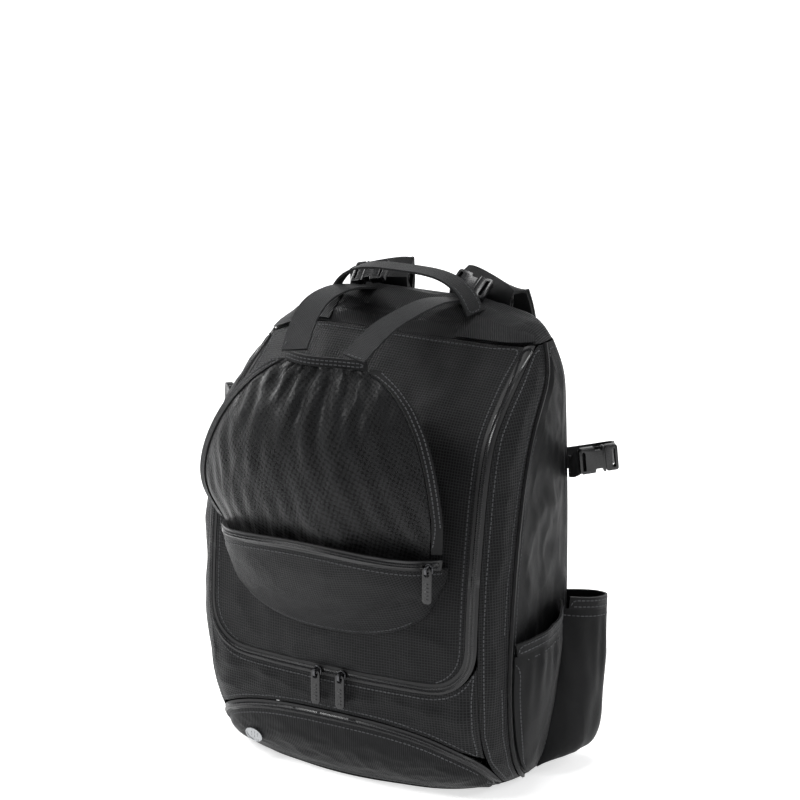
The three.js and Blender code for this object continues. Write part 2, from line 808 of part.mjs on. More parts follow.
function makeNet() {
  const columns = 22;
  const outer = (i, j) => onNet((2 * j) / columns - 1, netShares[i]);
  const inner = (i, j) => onNet((2 * j) / columns - 1, netShares[i], -netWall);
  add("helmet_net", wall(netShares.length - 1, columns, outer, inner), finishes.net);
  for (const side of sides) {
    const shares = netShares.filter((share) => share > 0.19);
    const steps = shares.map((share) => {
      const edge = onNet(side.sign, share);
      return { edge, away: edge.clone().sub(onNet(side.sign * 0.9, share)).normalize() };
    });
    const frames = steps.map(({ edge, away }, i) => {
      const before = steps[Math.max(i - 1, 0)].edge;
      const after = steps[Math.min(i + 1, steps.length - 1)].edge;
      const out = after.clone().sub(before).cross(away).normalize();
      const at = edge.clone().addScaledVector(away, bindingWidth / 2 + 4 * clearance);
      return { at, across: away, out };
    });
    const solid = sweep(frames, webbingProfile(bindingWidth, bindingWall));
    add(`net_binding_${side.name}`, solid, finishes.binding);
  }
  const hem = [];
  for (let i = 0; i <= 8; i += 1) {
    const u = (2 * i) / 8 - 1;
    hem.push(onNet(u, 1).add(V(0, netWall / 2, hemWidth / 2 + clearance)));
  }
  const hemFrames = framesAlong(hem, 14, V(0, 0, 1));
  add("net_hem", sweep(hemFrames, webbingProfile(hemWidth, bindingWall)), finishes.binding);
}

// The stow pocket: a pouch on the door whose mouth stands off around the net
function onPouch(u, v) {
  const x = pouchHalfWidth * u;
  const lowShare = 1 - (1 - Math.abs(u) ** 2.6) ** (1 / 2.2);
  const mouthZ = pouchMouth + pouchMouthRise * (1 - u * u);
  const lowZ = pouchBottom + (mouthZ - pouchLeast - pouchBottom) * lowShare;
  const z = lowZ + v * (mouthZ - lowZ);
  const onDoor = onShell(distanceWhere(0, Math.abs(x), lowZ) * Math.sign(x), lowZ, doorProud + clearance);
  const mouthDoor = onShell(distanceWhere(0, Math.abs(x), mouthZ) * Math.sign(x), mouthZ, doorProud + 1);
  const mouthY = mouthDoor.y - pouchBelly * (1 - Math.abs(u) ** 3) ** 0.6;
  const y = onDoor.y + v * (mouthY - onDoor.y) - 9 * Math.sin(Math.PI * v) * (1 - u * u);
  return V(x, y, z);
}
function makeStowPocket() {
  const columns = 16;
  const rows = 4;
  const at = (i, j, inward) => onPouch((2 * j) / columns - 1, i / rows).add(V(0, inward, 0));
  const outer = (i, j) => at(i, j, -clothWall);
  const inner = (i, j) => at(i, j, 0);
  add("stow_pocket", wall(rows, columns, outer, inner), finishes.ripstop);
  const mouth = [];
  for (let i = 0; i <= 12; i += 1) {
    const u = (2 * i) / 12 - 1;
    mouth.push(onPouch(u * 0.985, 1).add(V(0, -clothWall / 2, stowZipWidth / 2 + clearance)));
  }
  const mouthFrames = framesAlong(mouth, 16, V(0, 0, 1));
  add("stow_zip", sweep(mouthFrames, webbingProfile(stowZipWidth, stowZipWall)), finishes.zip);
}

// A padded shoulder strap: sewn to the back's top, over in a loop and down the back. Out is a share of the
// strap's width, back of the loop's depth and up of the bag's height, from its seat at the top of the back.
const strapRun = [
  { out: 0, back: 0, up: -0.105 },
  { out: 0, back: 0, up: -0.046 },
  { out: 0.015, back: 0.04, up: 0.011 },
  { out: 0.05, back: 0.3, up: 0.027 },
  { out: 0.1, back: 0.7, up: 0.024 },
  { out: 0.15, back: 0.96, up: -0.014 },
  { out: 0.26, back: 1, up: -0.114 },
  { out: 0.37, back: 0.88, up: -0.274 },
  { out: 0.43, back: 0.67, up: -0.434 },
  { out: 0.45, back: 0.42, up: -0.562 },
];
const strapLine = (sign) =>
  strapRun.map(({ out, back, up }) => {
    const x = sign * (strapSpread + out * strapWidth);
    return V(x, strapSeat + back * strapLoop, bodyHeight + up * bodyHeight);
  });

function makeShoulderStraps() {
  for (const side of sides) {
    const frames = framesAlong(strapLine(side.sign), 20, V(1, 0, -0.25 * side.sign));
    const padded = sweep(frames, paddedProfile(strapWidth, strapWall, 2));
    add(`shoulder_strap_${side.name}`, padded, finishes.nylon);
    const end = strapLine(side.sign).pop();
    const lockTop = end.z - 3;
    const slotOutline = roundedOutline(lockWidth - 2 * lockBar, lockBar, 1, 1);
    const lockSlot = slotOutline.map(([x, y]) => [x, y + lockSlotHeight]);
    const lock = plate(roundedOutline(lockWidth, lockHeight, 4, 2), lockWall, [lockSlot]);
    const lockMiddle = lockTop - lockHeight / 2 - 1;
    const turn = new THREE.Matrix4().makeRotationX(Math.PI / 2).setPosition(end.x, end.y, lockMiddle);
    add(`ladder_lock_${side.name}`, lock, finishes.plastic, turn);
    const foot = V(side.sign * (halfWidth - webInset), backPlane + webbingWall / 2 + clearance, webLow);
    const under = end.y - 2 - clearance - webbingWall / 2;
    const web = [
      V(end.x, under, lockTop - 2),
      V(end.x, under, lockTop - lockHeight),
      V((end.x + foot.x) / 2, (under + foot.y) / 2 + 2, (lockTop + foot.z) / 2 - 20),
      V(foot.x, foot.y + 0.4, foot.z + 22),
      foot,
    ];
    const webFrames = framesAlong(web, 10, V(1, 0, 0));
    const webSolid = sweep(webFrames, webbingProfile(webbingWidth, webbingWall));
    add(`strap_web_${side.name}`, webSolid, finishes.webbing);
  }
}

// The carry handle stands on the yoke's front slope, with its ends lying on the cloth
function makeHandle() {
  const footHeight = (x) => bodyHeight - 8 - (x - handleHalf) * 0.2;
  const foot = (x) => {
    const z = footHeight(Math.abs(x));
    const s = distanceWhere(0, Math.abs(x), z) * Math.sign(x);
    const out = outward(s, z);
    return { at: onShell(s, z, webbingWall / 2 + clearance + 3), out };
  };
  const frames = [];
  const steps = 20;
  const ends = [-1, 1].map((sign) => foot(sign * handleHalf));
  for (let i = 0; i <= steps; i += 1) {
    const t = (2 * i) / steps - 1;
    const end = ends[t < 0 ? 0 : 1];
    const lift = Math.max(0, 1 - Math.abs(t) ** 3.6);
    const x = handleHalf * t * (1 + 0.12 * lift);
    const at = V(x, end.at.y, end.at.z + handleRise * lift);
    const slope = Math.min(1, Math.abs(t) ** 6);
    const wish = V(0, 1, 0).lerp(V(0, -end.out.z, end.out.y).multiplyScalar(-1), slope).normalize();
    frames.push({ at, wish });
  }
  const made = frames.map(({ at, wish }, i) => {
    const before = frames[Math.max(i - 1, 0)].at;
    const after = frames[Math.min(i + 1, steps)].at;
    const forward = after.clone().sub(before).normalize();
    const out = forward.clone().cross(wish).normalize();
    return { at, out, across: out.clone().cross(forward).normalize() };
  });
  add("carry_handle", sweep(made, webbingProfile(webbingWidth, webbingWall)), finishes.webbing);
}

// A side-release buckle's two halves, lying flat with the release fingers in the socket's side windows
function socketGeometry(webbing) {
  const half = buckleLength / 2;
  const w = webbing / 2 + 2;
  const outline = [
    [-half, -w + 2],
    [-half + 2, -w],
    [-4, -w],
    [-3, -w + 3.5],
    [3, -w + 3.5],
    [4, -w],
    [6, -w],
    [6, w],
    [4, w],
    [3, w - 3.5],
    [-3, w - 3.5],
    [-4, w],
    [-half + 2, w],
    [-half, w - 2],
  ];
  const slot = roundedOutline(3, webbing - 2, 1, 1).map(([x, y]) => [x - half + 4, y]);
  return plate(outline, buckleWall, [slot]);
}
function plugGeometry(webbing) {
  const half = buckleLength / 2;
  const w = webbing / 2 + 2;
  const rounded = roundedOutline(half - 6 - clearance, 2 * w, 2, 2);
  const outline = rounded.map(([x, y]) => [x + (half + 6 + clearance) / 2, y]);
  const slot = roundedOutline(3, webbing - 2, 1, 1).map(([x, y]) => [x + half - 4, y]);
  return plate(outline, buckleWall, [slot]);
}
function addBuckle(prefix, name, webbing, frame) {
  const place = new THREE.Matrix4().makeBasis(frame.along, frame.across, frame.out).setPosition(frame.at);
  add(`${prefix}_socket_${name}`, socketGeometry(webbing), finishes.plastic, place);
  add(`${prefix}_plug_${name}`, plugGeometry(webbing), finishes.plastic, place);
}

// The straps that hold the net's hem, each ending under a buckle on its shoulder strap. Out is a share of
// the buckle's distance from the middle, back of its distance behind it and up of the strap's arch.
const helmetRun = [
  { out: 0.74, back: -1.07, up: 0.09 },
  { out: 0.89, back: -0.52, up: 0.91 },
  { out: 0.93, back: 0.09, up: 1 },
  { out: 0.96, back: 0.52, up: 0.55 },
  { out: 0.98, back: 0.82, up: 0.13 },
];
function makeHelmetStraps() {
  for (const side of sides) {
    const hemEnd = onNet(side.sign * 0.72, 1);
    const start = V(hemEnd.x, hemEnd.y + 0.6, hemEnd.z + hemWidth + 2 * clearance + 1.2);
    const run = helmetRun.map(({ out, back, up }) => {
      return V(side.sign * out * buckleX, back * buckleY, bodyHeight + up * helmetStrapArch);
    });
    const points = [start, ...run];
    const frames = framesAlong(points, 14, V(side.sign, 0, 0));
    const strap = sweep(frames, webbingProfile(webbingWidth, webbingWall));
    add(`helmet_strap_${side.name}`, strap, finishes.webbing);
    const at = V(side.sign * buckleX, buckleY, buckleZ);
    const along = V(side.sign, 0, -0.22).normalize();
    const up = V(0, -0.6, 0.8);
    const out = up.addScaledVector(along, -up.dot(along)).normalize();
    addBuckle("strap", side.name, strapBuckle, { at, along, out, across: out.clone().cross(along) });
  }
}

// A bottle pocket on each side: flat along its seams, standing off at its hem
function pocketRear(z) {
  return 12 + 30 * Math.min(1, Math.max(0, (z - pocketBottom) / (pocketTop - pocketBottom))) ** 0.7;
}
function onBottlePocket(sign, t, share, standOff = 0) {
  const hemRise = 16 * (t - 0.5);
  const z = pocketBottom + share * (pocketTop + hemRise - pocketBottom);
  const from = pipingAt(z) + pipingGap(z) + 2.5;
  const to = distanceWhere(1, pocketRear(z), z);
  const s = from + t * (to - from);
  const swell = Math.sin(Math.PI * t) ** 0.8 * Math.sin((Math.PI / 2) * Math.min(1, share * 1.15)) ** 0.9;
  const crease = 2.4 * Math.exp(-(((t - 0.62 + 0.25 * share) / 0.09) ** 2)) * Math.sin(Math.PI * share);
  const pleats = 1.1 * Math.sin(t * Math.PI * 7) * share ** 4 * Math.sin(Math.PI * t);
  return onShell(sign * s, z, sidePanelProud + pocketBelly * swell - crease + pleats + standOff);
}
function makeBottlePockets() {
  const columns = 11;
  const shares = [0, 0.1, 0.26, 0.48, 0.7, 0.88, 1];
  for (const side of sides) {
    const at = (standOff) => (i, j) => onBottlePocket(side.sign, j / columns, shares[i], standOff);
    const cloth = wall(shares.length - 1, columns, at(pocketWall), at(0));
    add(`bottle_pocket_${side.name}`, cloth, finishes.nylon);
    const hem = [];
    for (let j = 0; j <= 10; j += 1) {
      const edge = onBottlePocket(side.sign, 0.015 + 0.97 * (j / 10), 1, pocketWall / 2);
      hem.push(edge.add(V(0, 0, pocketHem / 2 + clearance)));
    }
    const frames = framesAlong(hem, 12, V(0, 0, 1));
    const band = sweep(frames, webbingProfile(pocketHem, pocketHemWall));
    add(`bottle_hem_${side.name}`, band, finishes.binding);
  }
}

// A bat sleeve round each rear corner: a tube cut open at its top, closing to a round bottom
function onSleeve(sign, t, share, standOff = 0) {
  const hemRise = 10 * (0.5 - t);
  const z = sleeveBottom + share * (sleeveTop + hemRise - sleeveBottom);
  const frontY = pocketRear(z) + sleeveGap;
  const from = distanceWhere(1, frontY, z);
  const to = sectionAt(z).along[sectionAt(z).along.length - 2] + 6;
  const round = Math.sqrt(Math.max(0, 1 - (1 - Math.min(1, share * 5.5)) ** 2.4));
  const angle = Math.PI * t;
  const along = (1 - Math.cos(angle)) / 2;
  const belly = sleeveBelly * round * Math.sin(angle) ** 0.75;
  const pleats = sleevePleat * Math.sin(t * Math.PI * 9) * Math.sin(angle) * round;
  const out = V(sign * 0.93, 0.37, 0).normalize();
  const s = from + along * (to - from);
  const proud = sidePanelProud * (1 - along) + clearance + standOff;
  return onShell(sign * s, z, proud).addScaledVector(out, belly + pleats);
}
function makeBatSleeves() {
  const columns = 13;
  const shares = [0, 0.04, 0.1, 0.2, 0.34, 0.66, 1];
  for (const side of sides) {
    const at = (standOff) => (i, j) => onSleeve(side.sign, j / columns, shares[i], standOff);
    add(`bat_sleeve_${side.name}`, wall(shares.length - 1, columns, at(pocketWall), at(0)), finishes.nylon);
    const hem = [];
    for (let j = 0; j <= 14; j += 1) {
      const edge = onSleeve(side.sign, 0.04 + 0.92 * (j / 14), 1, pocketWall / 2);
      hem.push(edge.add(V(0, 0, pocketHem / 2 + clearance)));
    }
    const frames = framesAlong(hem, 14, V(0, 0, 1));
    add(`bat_hem_${side.name}`, sweep(frames, webbingProfile(pocketHem, pocketHemWall)), finishes.binding);
  }
}

// A webbing loop above each sleeve, with a buckle on its front. Out is a share of the loop's reach from
// the side, back of half its span about its middle and up of the webbing's width.
const batRun = [
  { out: -0.02, back: -0.17, up: -0.6 },
  { out: 0.225, back: -0.7, up: -0.4 },
  { out: 0.625, back: -0.96, up: 0.2 },
  { out: 0.9, back: -0.7, up: 0.3 },
  { out: 1, back: -0.04, up: 0.25 },
  { out: 0.85, back: 0.7, up: 0.1 },
  { out: 0.45, back: 1, up: -0.2 },
  { out: 0.05, back: 0.87, up: -0.4 },
  { out: -0.45, back: 0.514, up: -0.6 },
];
function makeBatStraps() {
  for (const side of sides) {
    const points = batRun.map(({ out, back, up }) => {
      const x = side.sign * (halfWidth - clothWall + out * batReach);
      return V(x, batMiddle + back * batHalfSpan, batStrapZ + up * batWebbing);
    });
    const frames = framesAlong(points, 18, V(0, 0, 1));
    add(`bat_strap_${side.name}`, sweep(frames, webbingProfile(batWebbing, webbingWall)), finishes.webbing);
    const middle = frames[6];
    const out = middle.out.clone().multiplyScalar(middle.out.y < 0 ? 1 : -1);
    const along = frames[7].at.clone().sub(frames[5].at).normalize();
    const standOff = webbingWall / 2 + buckleWall / 2 + 0.8;
    const at = middle.at.clone().addScaledVector(out, standOff);
    addBuckle("bat", side.name, batWebbing, { at, along, out, across: out.clone().cross(along) });
  }
}

// A zip slider with a bail over its back, and a pull that hangs from the bail
function sliderGeometry() {
  const body = plate(roundedOutline(sliderWidth, sliderLength, 2, 1), sliderWall, [], 0.5);
  const arch = [];
  const inner = [];
  const squared = (c) => Math.sign(c) * Math.abs(c) ** 0.6;
  for (let i = 0; i <= 6; i += 1) {
    const a = (Math.PI * i) / 6;
    const across = squared(Math.cos(a));
    const up = Math.sin(a) ** 0.6;
    const foot = sliderWall / 2 - 0.4;
    arch.push([bailSpan * across, foot + (bailRise + bailWall) * up]);
    inner.push([(bailSpan - bailWall) * across, foot + bailRise * up]);
  }
  const bail = plate([...arch, ...inner.reverse()], bailThickness);
  bail.applyMatrix4(new THREE.Matrix4().makeBasis(V(0, 1, 0), V(0, 0, 1), V(1, 0, 0)));
  return joined([body, bail]);
}
function pullGeometry() {
  const outline = roundedOutline(pullWidth, pullLength, 3, 2);
  const eye = roundedOutline(bailThickness + 2.2, 6, 1, 1).map(([x, y]) => [x, y + pullLength / 2 - 5]);
  return plate(outline, pullWall, [eye], 0.4).translate(0, -pullLength / 2 + pullWall, 0);
}
function addSlider(name, frame) {
  const along = frame.along;
  const across = along.clone().cross(frame.out).normalize();
  const place = new THREE.Matrix4().makeBasis(across, along, frame.out).setPosition(frame.at);
  add(`${name.slider}`, sliderGeometry(), finishes.slider, place);
  const hinge = frame.at.clone().addScaledVector(frame.out, hingeRise);
  const hang = new THREE.Matrix4().makeBasis(V(1, 0, 0), V(0, 0, 1), V(0, -1, 0)).setPosition(hinge);
  add(`${name.pull}`, pullGeometry(), finishes.plastic, hang);
}
function makeSliders() {
  for (const side of sides) {
    const s = side.sign * mainSliderSpread;
    const z = doorBottom - zipWidth / 2;
    const at = onShell(s, z, coilRise + sliderWall / 2 + clearance + 0.4);
    const names = { slider: `main_slider_${side.name}`, pull: `main_pull_${side.name}` };
    addSlider(names, { at, out: V(0, -1, 0), along: V(0, 0, 1) });
  }
  const standOff = (clothWall + stowZipWall + sliderWall) / 2 + clearance + 4.6;
  const at = onPouch(stowSliderShare, 1).add(V(0, -standOff, stowZipWidth / 2));
  addSlider({ slider: "stow_slider", pull: "stow_pull" }, { at, out: V(0, -1, 0), along: V(0, 0, 1) });
}

// An oval metal plate with a raised rim and plain ribs, tilted as it is sewn
function makeBadge() {
  const oval = (w, h) => Array.from({ length: 16 }, (_, k) => {
    const a = (2 * Math.PI * k) / 16;
    return [(w / 2) * Math.cos(a), (h / 2) * Math.sin(a)];
  });
  const flat = plate(oval(badgeWidth, badgeHeight), badgeWall);
  const rimHole = oval(badgeWidth - 2.4, badgeHeight - 2.4);
  const rim = plate(oval(badgeWidth, badgeHeight), badgeWall + 0.8, [rimHole]);
  rim.translate(0, 0, 0.4);
  const bars = [-1, 0, 1].map((k) => {
    return plate(roundedOutline(1.2, 7 - 2 * Math.abs(k), 0.5, 1), badgeWall).translate(k * 3.2, 0, 0.5);
  });
  const s = -distanceWhere(0, badgeX, badgeZ);
  const out = outward(s, badgeZ);
  const at = onShell(s, badgeZ, shoePuff + badgeWall / 2 - 0.1);
  const up = V(0.2, 0, 1).addScaledVector(out, -out.dot(V(0.2, 0, 1))).normalize();
  const place = new THREE.Matrix4().makeBasis(up.clone().cross(out), up, out).setPosition(at);
  add("badge", joined([flat, rim, ...bars]), finishes.silver, place);
}

// The yoke's side flaps, which cover the tops of the door's zip
function makeYokeFlaps() {
  for (const side of sides) {
    const low = [];
    const high = [];
    const z = yokeSeam + 1.5;
    const start = flapFrom * doorHalfWidth;
    const topAt = (t) => z + flapTip + flapHeight * (1 - t) ** 0.8;
    const reachAt = (level) => flapReach * sectionAt(level).points[32][0];
    const ends = [z, topAt(1)].map((level) => distanceWhere(0, reachAt(level), level));
    for (let i = 0; i <= flapRows; i += 1) {
      const t = i / flapRows;
      const starts = [distanceWhere(0, start, z), distanceWhere(0, start, topAt(t))];
      low.push([side.sign * (starts[0] + t * (ends[0] - starts[0])), z]);
      high.push([side.sign * (starts[1] + t * (ends[1] - starts[1])), topAt(t)]);
    }
    const lift = () => flapRise;
    const solid = panel(low, high, flapColumns, flapWall, lift);
    add(`yoke_flap_${side.name}`, solid, finishes.ribbed);
  }
}

makeDoor();
makeMainZip();
makeShoeCompartment();
makeFrontLower();
makeGussets();
makePiping();
makeSides();
makeBack();
makeBase();
makeYoke();
makeYokeFlaps();
makeNet();
makeStowPocket();
makeShoulderStraps();
makeHandle();
makeHelmetStraps();
makeBottlePockets();
makeBatSleeves();
makeBatStraps();
makeSliders();
makeBadge();

export default bag;
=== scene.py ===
"""The looks of a bat backpack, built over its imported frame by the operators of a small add-on.

Lengths are in metres, +Z is up and -Y is the front.
"""

import json
import math

import bmesh
import bpy
import numpy as np
from bpy.props import FloatProperty, FloatVectorProperty
from mathutils import Matrix, Vector, noise
from mathutils.bvhtree import BVHTree

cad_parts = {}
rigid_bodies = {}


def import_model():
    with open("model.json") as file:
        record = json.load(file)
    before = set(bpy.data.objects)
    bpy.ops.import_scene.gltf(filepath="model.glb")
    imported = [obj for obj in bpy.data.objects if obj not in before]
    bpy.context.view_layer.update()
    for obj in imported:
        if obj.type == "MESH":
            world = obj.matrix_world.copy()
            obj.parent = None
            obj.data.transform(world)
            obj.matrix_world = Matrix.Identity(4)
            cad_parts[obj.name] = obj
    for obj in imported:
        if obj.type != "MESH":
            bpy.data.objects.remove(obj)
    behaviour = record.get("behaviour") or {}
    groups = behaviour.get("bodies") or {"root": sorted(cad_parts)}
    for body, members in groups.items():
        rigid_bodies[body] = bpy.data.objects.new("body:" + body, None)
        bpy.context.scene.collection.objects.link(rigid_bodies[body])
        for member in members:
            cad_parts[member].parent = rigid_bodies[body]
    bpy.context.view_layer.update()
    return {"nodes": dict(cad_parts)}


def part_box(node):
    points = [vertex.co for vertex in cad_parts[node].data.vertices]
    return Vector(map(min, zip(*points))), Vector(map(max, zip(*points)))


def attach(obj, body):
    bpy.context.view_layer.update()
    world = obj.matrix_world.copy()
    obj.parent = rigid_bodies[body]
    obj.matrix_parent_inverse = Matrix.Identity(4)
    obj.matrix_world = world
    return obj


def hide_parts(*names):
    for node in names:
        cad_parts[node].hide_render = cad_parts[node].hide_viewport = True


bl_info = {
    "name": "Bat backpack",
    "version": (1, 0, 0),
    "blender": (4, 5, 0),
    "location": "3D View > Sidebar > Backpack",
    "description": "Dresses the backpack's frame in cloth, net, webbing, zips and buckles",
    "category": "Add Mesh",
}

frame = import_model()
SIDES = ("left", "right")
BAG = "bag"

CAMERA_PLACE = Vector((1.2292, -2.1290, 1.0665))
CAMERA_AIM = Vector((-0.0071, 0.0425, 0.3374))
SENSOR_WIDTH = 36
FAR_CLIP = 50
FLOOR_SIZE = 12.0
FLOOR_DROP = 0.0003
LIGHT_AIM = Vector((0, 0, 0.22))

MERGE_GAP = 0.00001
QUAD_FOLD = math.radians(60)
QUAD_SHAPE = math.radians(70)
SHARP_EDGE = math.radians(48)
SMOOTH_EDGE = math.radians(42)
BEVEL_EDGE = math.radians(40)
FULL_TURN = math.tau
TINY = 1e-9

# Each sewn piece's surface, as (search tree, lines along its rim).
SURFACES = {}


# ---------------------------------------------------------------- settings


def size_setting(name, description, default, unit="LENGTH"):
    return FloatProperty(name=name, description=description, default=default, unit=unit)


def colour_setting(name, description, default):
    return FloatVectorProperty(name=name, description=description, default=default, subtype="COLOR", size=3)


class BackpackSizes(bpy.types.PropertyGroup):
    """Sizes of the cloths, threads and zips."""

    grid_pitch: size_setting("Grid pitch", "Distance between the ripstop's raised threads", 0.0027)
    rib_pitch: size_setting("Rib pitch", "Distance between the ribs of the ribbed cloth", 0.0021)
    mesh_pitch: size_setting("Mesh pitch", "Distance between the net's holes", 0.0011)
    stripe_pitch: size_setting("Stripe pitch", "Distance between the net's upright stripes", 0.0042)
    coil_pitch: size_setting("Coil pitch", "Distance between the turns of a zip's coil", 0.0016)
    stitch_length: size_setting("Stitch length", "Length of one stitch", 0.0029)
    stitch_gap: size_setting("Stitch gap", "Gap between two stitches", 0.0013)
    thread: size_setting("Thread", "Radius of the sewing thread", 0.00046)
    lens: size_setting("Lens", "Focal length of the camera", 124.0, unit="CAMERA")
    fold_depth: size_setting("Fold depth", "Depth of the cloth's soft wrinkles", 0.0027)


class BackpackColours(bpy.types.PropertyGroup):
    """Colours of the cloths and fittings."""

    cloth: colour_setting("Cloth", "The dark of the main cloths", (0.0028, 0.0029, 0.0032))
    cloth_light: colour_setting("Cloth light", "The main cloths' raised threads", (0.021, 0.0214, 0.0224))
    binding: colour_setting("Binding", "Tapes and hems", (0.0034, 0.0034, 0.0038))
    net: colour_setting("Net", "The net's threads", (0.0042, 0.0043, 0.0045))
    plastic: colour_setting("Plastic", "Buckles and pulls", (0.004, 0.004, 0.0045))
    slider: colour_setting("Slider", "The zip sliders' metal", (0.09, 0.09, 0.095))
    silver: colour_setting("Silver", "The badge's metal", (0.42, 0.43, 0.44))
    floor: colour_setting("Floor", "The pale floor and backdrop", (0.92, 0.92, 0.92))


def sizes():
    return bpy.context.scene.backpack_sizes


def colours():
    return bpy.context.scene.backpack_colours


# ---------------------------------------------------------------- shader building


class Wiring:
    """Adds and joins the nodes of one node tree."""

    def __init__(self, tree):
        self.tree = tree

    def node(self, kind, **settings):
        made = self.tree.nodes.new(kind)
        for key, value in settings.items():
            setattr(made, key, value)
        return made

    def put(self, socket, value):
        """Links a socket, or sets its number or colour."""
        if isinstance(value, bpy.types.NodeSocket):
            self.tree.links.new(value, socket)
        elif value is not None:
            socket.default_value = value

    def math(self, operation, first, second=None, third=None):
        made = self.node("ShaderNodeMath", operation=operation)
        for socket, value in zip(made.inputs, (first, second, third)):
            self.put(socket, value)
        return made.outputs[0]

    def split(self, vector):
        made = self.node("ShaderNodeSeparateXYZ")
        self.put(made.inputs[0], vector)
        return made.outputs

    def wave(self, value, pitch, turn=FULL_TURN):
        """A sine along value, which goes round by turn for each pitch."""
        turns = self.math("DIVIDE", value, pitch)
        return self.math("SINE", self.math("MULTIPLY", turns, turn))

    def fade(self, value, low, high, start=0.0, end=1.0):
        """Goes smoothly from start to end as value goes from low to high."""
        made = self.node("ShaderNodeMapRange", interpolation_type="SMOOTHSTEP")
        names = ("Value", "From Min", "From Max", "To Min", "To Max")
        for name, given in zip(names, (value, low, high, start, end)):
            self.put(made.inputs[name], given)
        return made.outputs["Result"]

    def mix(self, factor, first, second):
        made = self.node("ShaderNodeMix", data_type="RGBA")
        self.put(made.inputs["Factor"], factor)
        self.put(made.inputs["A"], first)
        self.put(made.inputs["B"], second)
        return next(s for s in made.outputs if s.type == "RGBA")

    def noise(self, vector, scale, detail=2.0, roughness=0.5):
        made = self.node("ShaderNodeTexNoise")
        self.put(made.inputs["Vector"], vector)
        made.inputs["Scale"].default_value = scale
        made.inputs["Detail"].default_value = detail
        made.inputs["Roughness"].default_value = roughness
        return made.outputs["Fac"]


def shader_group(name, values, outputs):
    """A new node group that takes a vector and named values, and puts out named values."""
    tree = bpy.data.node_groups.new(name, "ShaderNodeTree")
    tree.interface.new_socket("Vector", in_out="INPUT", socket_type="NodeSocketVector")
    for socket, default in values.items():
        made = tree.interface.new_socket(socket, in_out="INPUT", socket_type="NodeSocketFloat")
        made.default_value = default
    for socket in outputs:
        tree.interface.new_socket(socket, in_out="OUTPUT", socket_type="NodeSocketFloat")
    w = Wiring(tree)
    return tree, w, w.node("NodeGroupInput").outputs, w.node("NodeGroupOutput").inputs


def build_grid_group():
    """Ripstop: raised threads in a small square grid over a plain weave."""
    values = {"Pitch": 0.0027, "Line": 0.2, "Weave": 0.00055}
    tree, w, given, out = shader_group("Grid cloth", values, ("Height", "Lines"))
    lines, weave = [], []
    for side in w.split(given["Vector"])[:2]:
        across = w.math("DIVIDE", side, given["Pitch"])
        lines.append(w.fade(w.math("PINGPONG", across, 0.5), given["Line"], 0.03))
        weave.append(w.wave(side, given["Weave"]))
    grid = w.math("MAXIMUM", lines[0], lines[1])
    fine = w.math("MULTIPLY", weave[0], weave[1])
    w.put(out["Height"], w.math("MULTIPLY_ADD", fine, 0.16, grid))
    w.put(out["Lines"], grid)
    return tree


def build_rib_group():
    """Ribs along V, with a little unevenness along each."""
    tree, w, given, out = shader_group("Ribs", {"Pitch": 0.002, "Slant": 0.0}, ("Height", "Lines"))
    across, along, _ = w.split(given["Vector"])
    wave = w.wave(w.math("MULTIPLY_ADD", along, given["Slant"], across), given["Pitch"])
    fine = w.wave(along, given["Pitch"], math.tau * 2.6)
    ribs = w.math("MULTIPLY_ADD", wave, 0.5, 0.5)
    w.put(out["Height"], w.math("MULTIPLY_ADD", fine, 0.14, ribs))
    w.put(out["Lines"], ribs)
    return tree


def build_weave_group():
    """A fine plain weave of over and under threads."""
    tree, w, given, out = shader_group("Plain weave", {"Pitch": 0.0007}, ("Height", "Lines"))
    waves = [w.wave(side, given["Pitch"], math.pi) for side in w.split(given["Vector"])[:2]]
    height = w.math("ABSOLUTE", w.math("MULTIPLY", waves[0], waves[1]))
    w.put(out["Height"], height)
    w.put(out["Lines"], height)
    return tree


def build_wear_group():
    """Slow changes of tone and a faint dust, for a cloth that has been handled."""
    tree, w, given, out = shader_group("Wear", {"Amount": 0.5}, ("Tone", "Grain"))
    broad = w.noise(given["Vector"], 11.0, 3.0, 0.55)
    small = w.noise(given["Vector"], 170.0, 3.0, 0.6)
    speck = w.noise(given["Vector"], 1500.0, 1.0, 0.5)
    tone = w.math("MULTIPLY_ADD", small, 0.35, w.math("MULTIPLY", broad, 0.65))
    w.put(out["Tone"], w.math("MULTIPLY", w.fade(tone, 0.3, 0.7), given["Amount"]))
    w.put(out["Grain"], speck)
    return tree


def build_net_group():
    """A knitted mesh: thread where the value is high and hole where it is low, in upright stripes."""
    tree, w, given, out = shader_group("Net", {"Pitch": 0.0018, "Stripe": 0.0042}, ("Thread", "Stripes"))
    across, along, _ = w.split(given["Vector"])
    rows = w.wave(across, given["Pitch"])
    courses = w.wave(along, given["Pitch"], math.tau * 0.8)
    stripes = w.wave(across, given["Stripe"])
    w.put(out["Thread"], w.fade(w.math("MULTIPLY", rows, courses), 0.75, -0.1))
    w.put(out["Stripes"], w.math("MULTIPLY_ADD", stripes, 0.5, 0.5))
    return tree


GROUP_MAKERS = {
    "Grid cloth": build_grid_group,
    "Ribs": build_rib_group,
    "Plain weave": build_weave_group,
    "Wear": build_wear_group,
    "Net": build_net_group,
}


def group_node(w, name, vector, **values):
    tree = bpy.data.node_groups.get(name) or GROUP_MAKERS[name]()
    made = w.node("ShaderNodeGroup", node_tree=tree)
    w.put(made.inputs["Vector"], vector)
    for key, value in values.items():
        made.inputs[key].default_value = value
    return made.outputs


# ---------------------------------------------------------------- materials


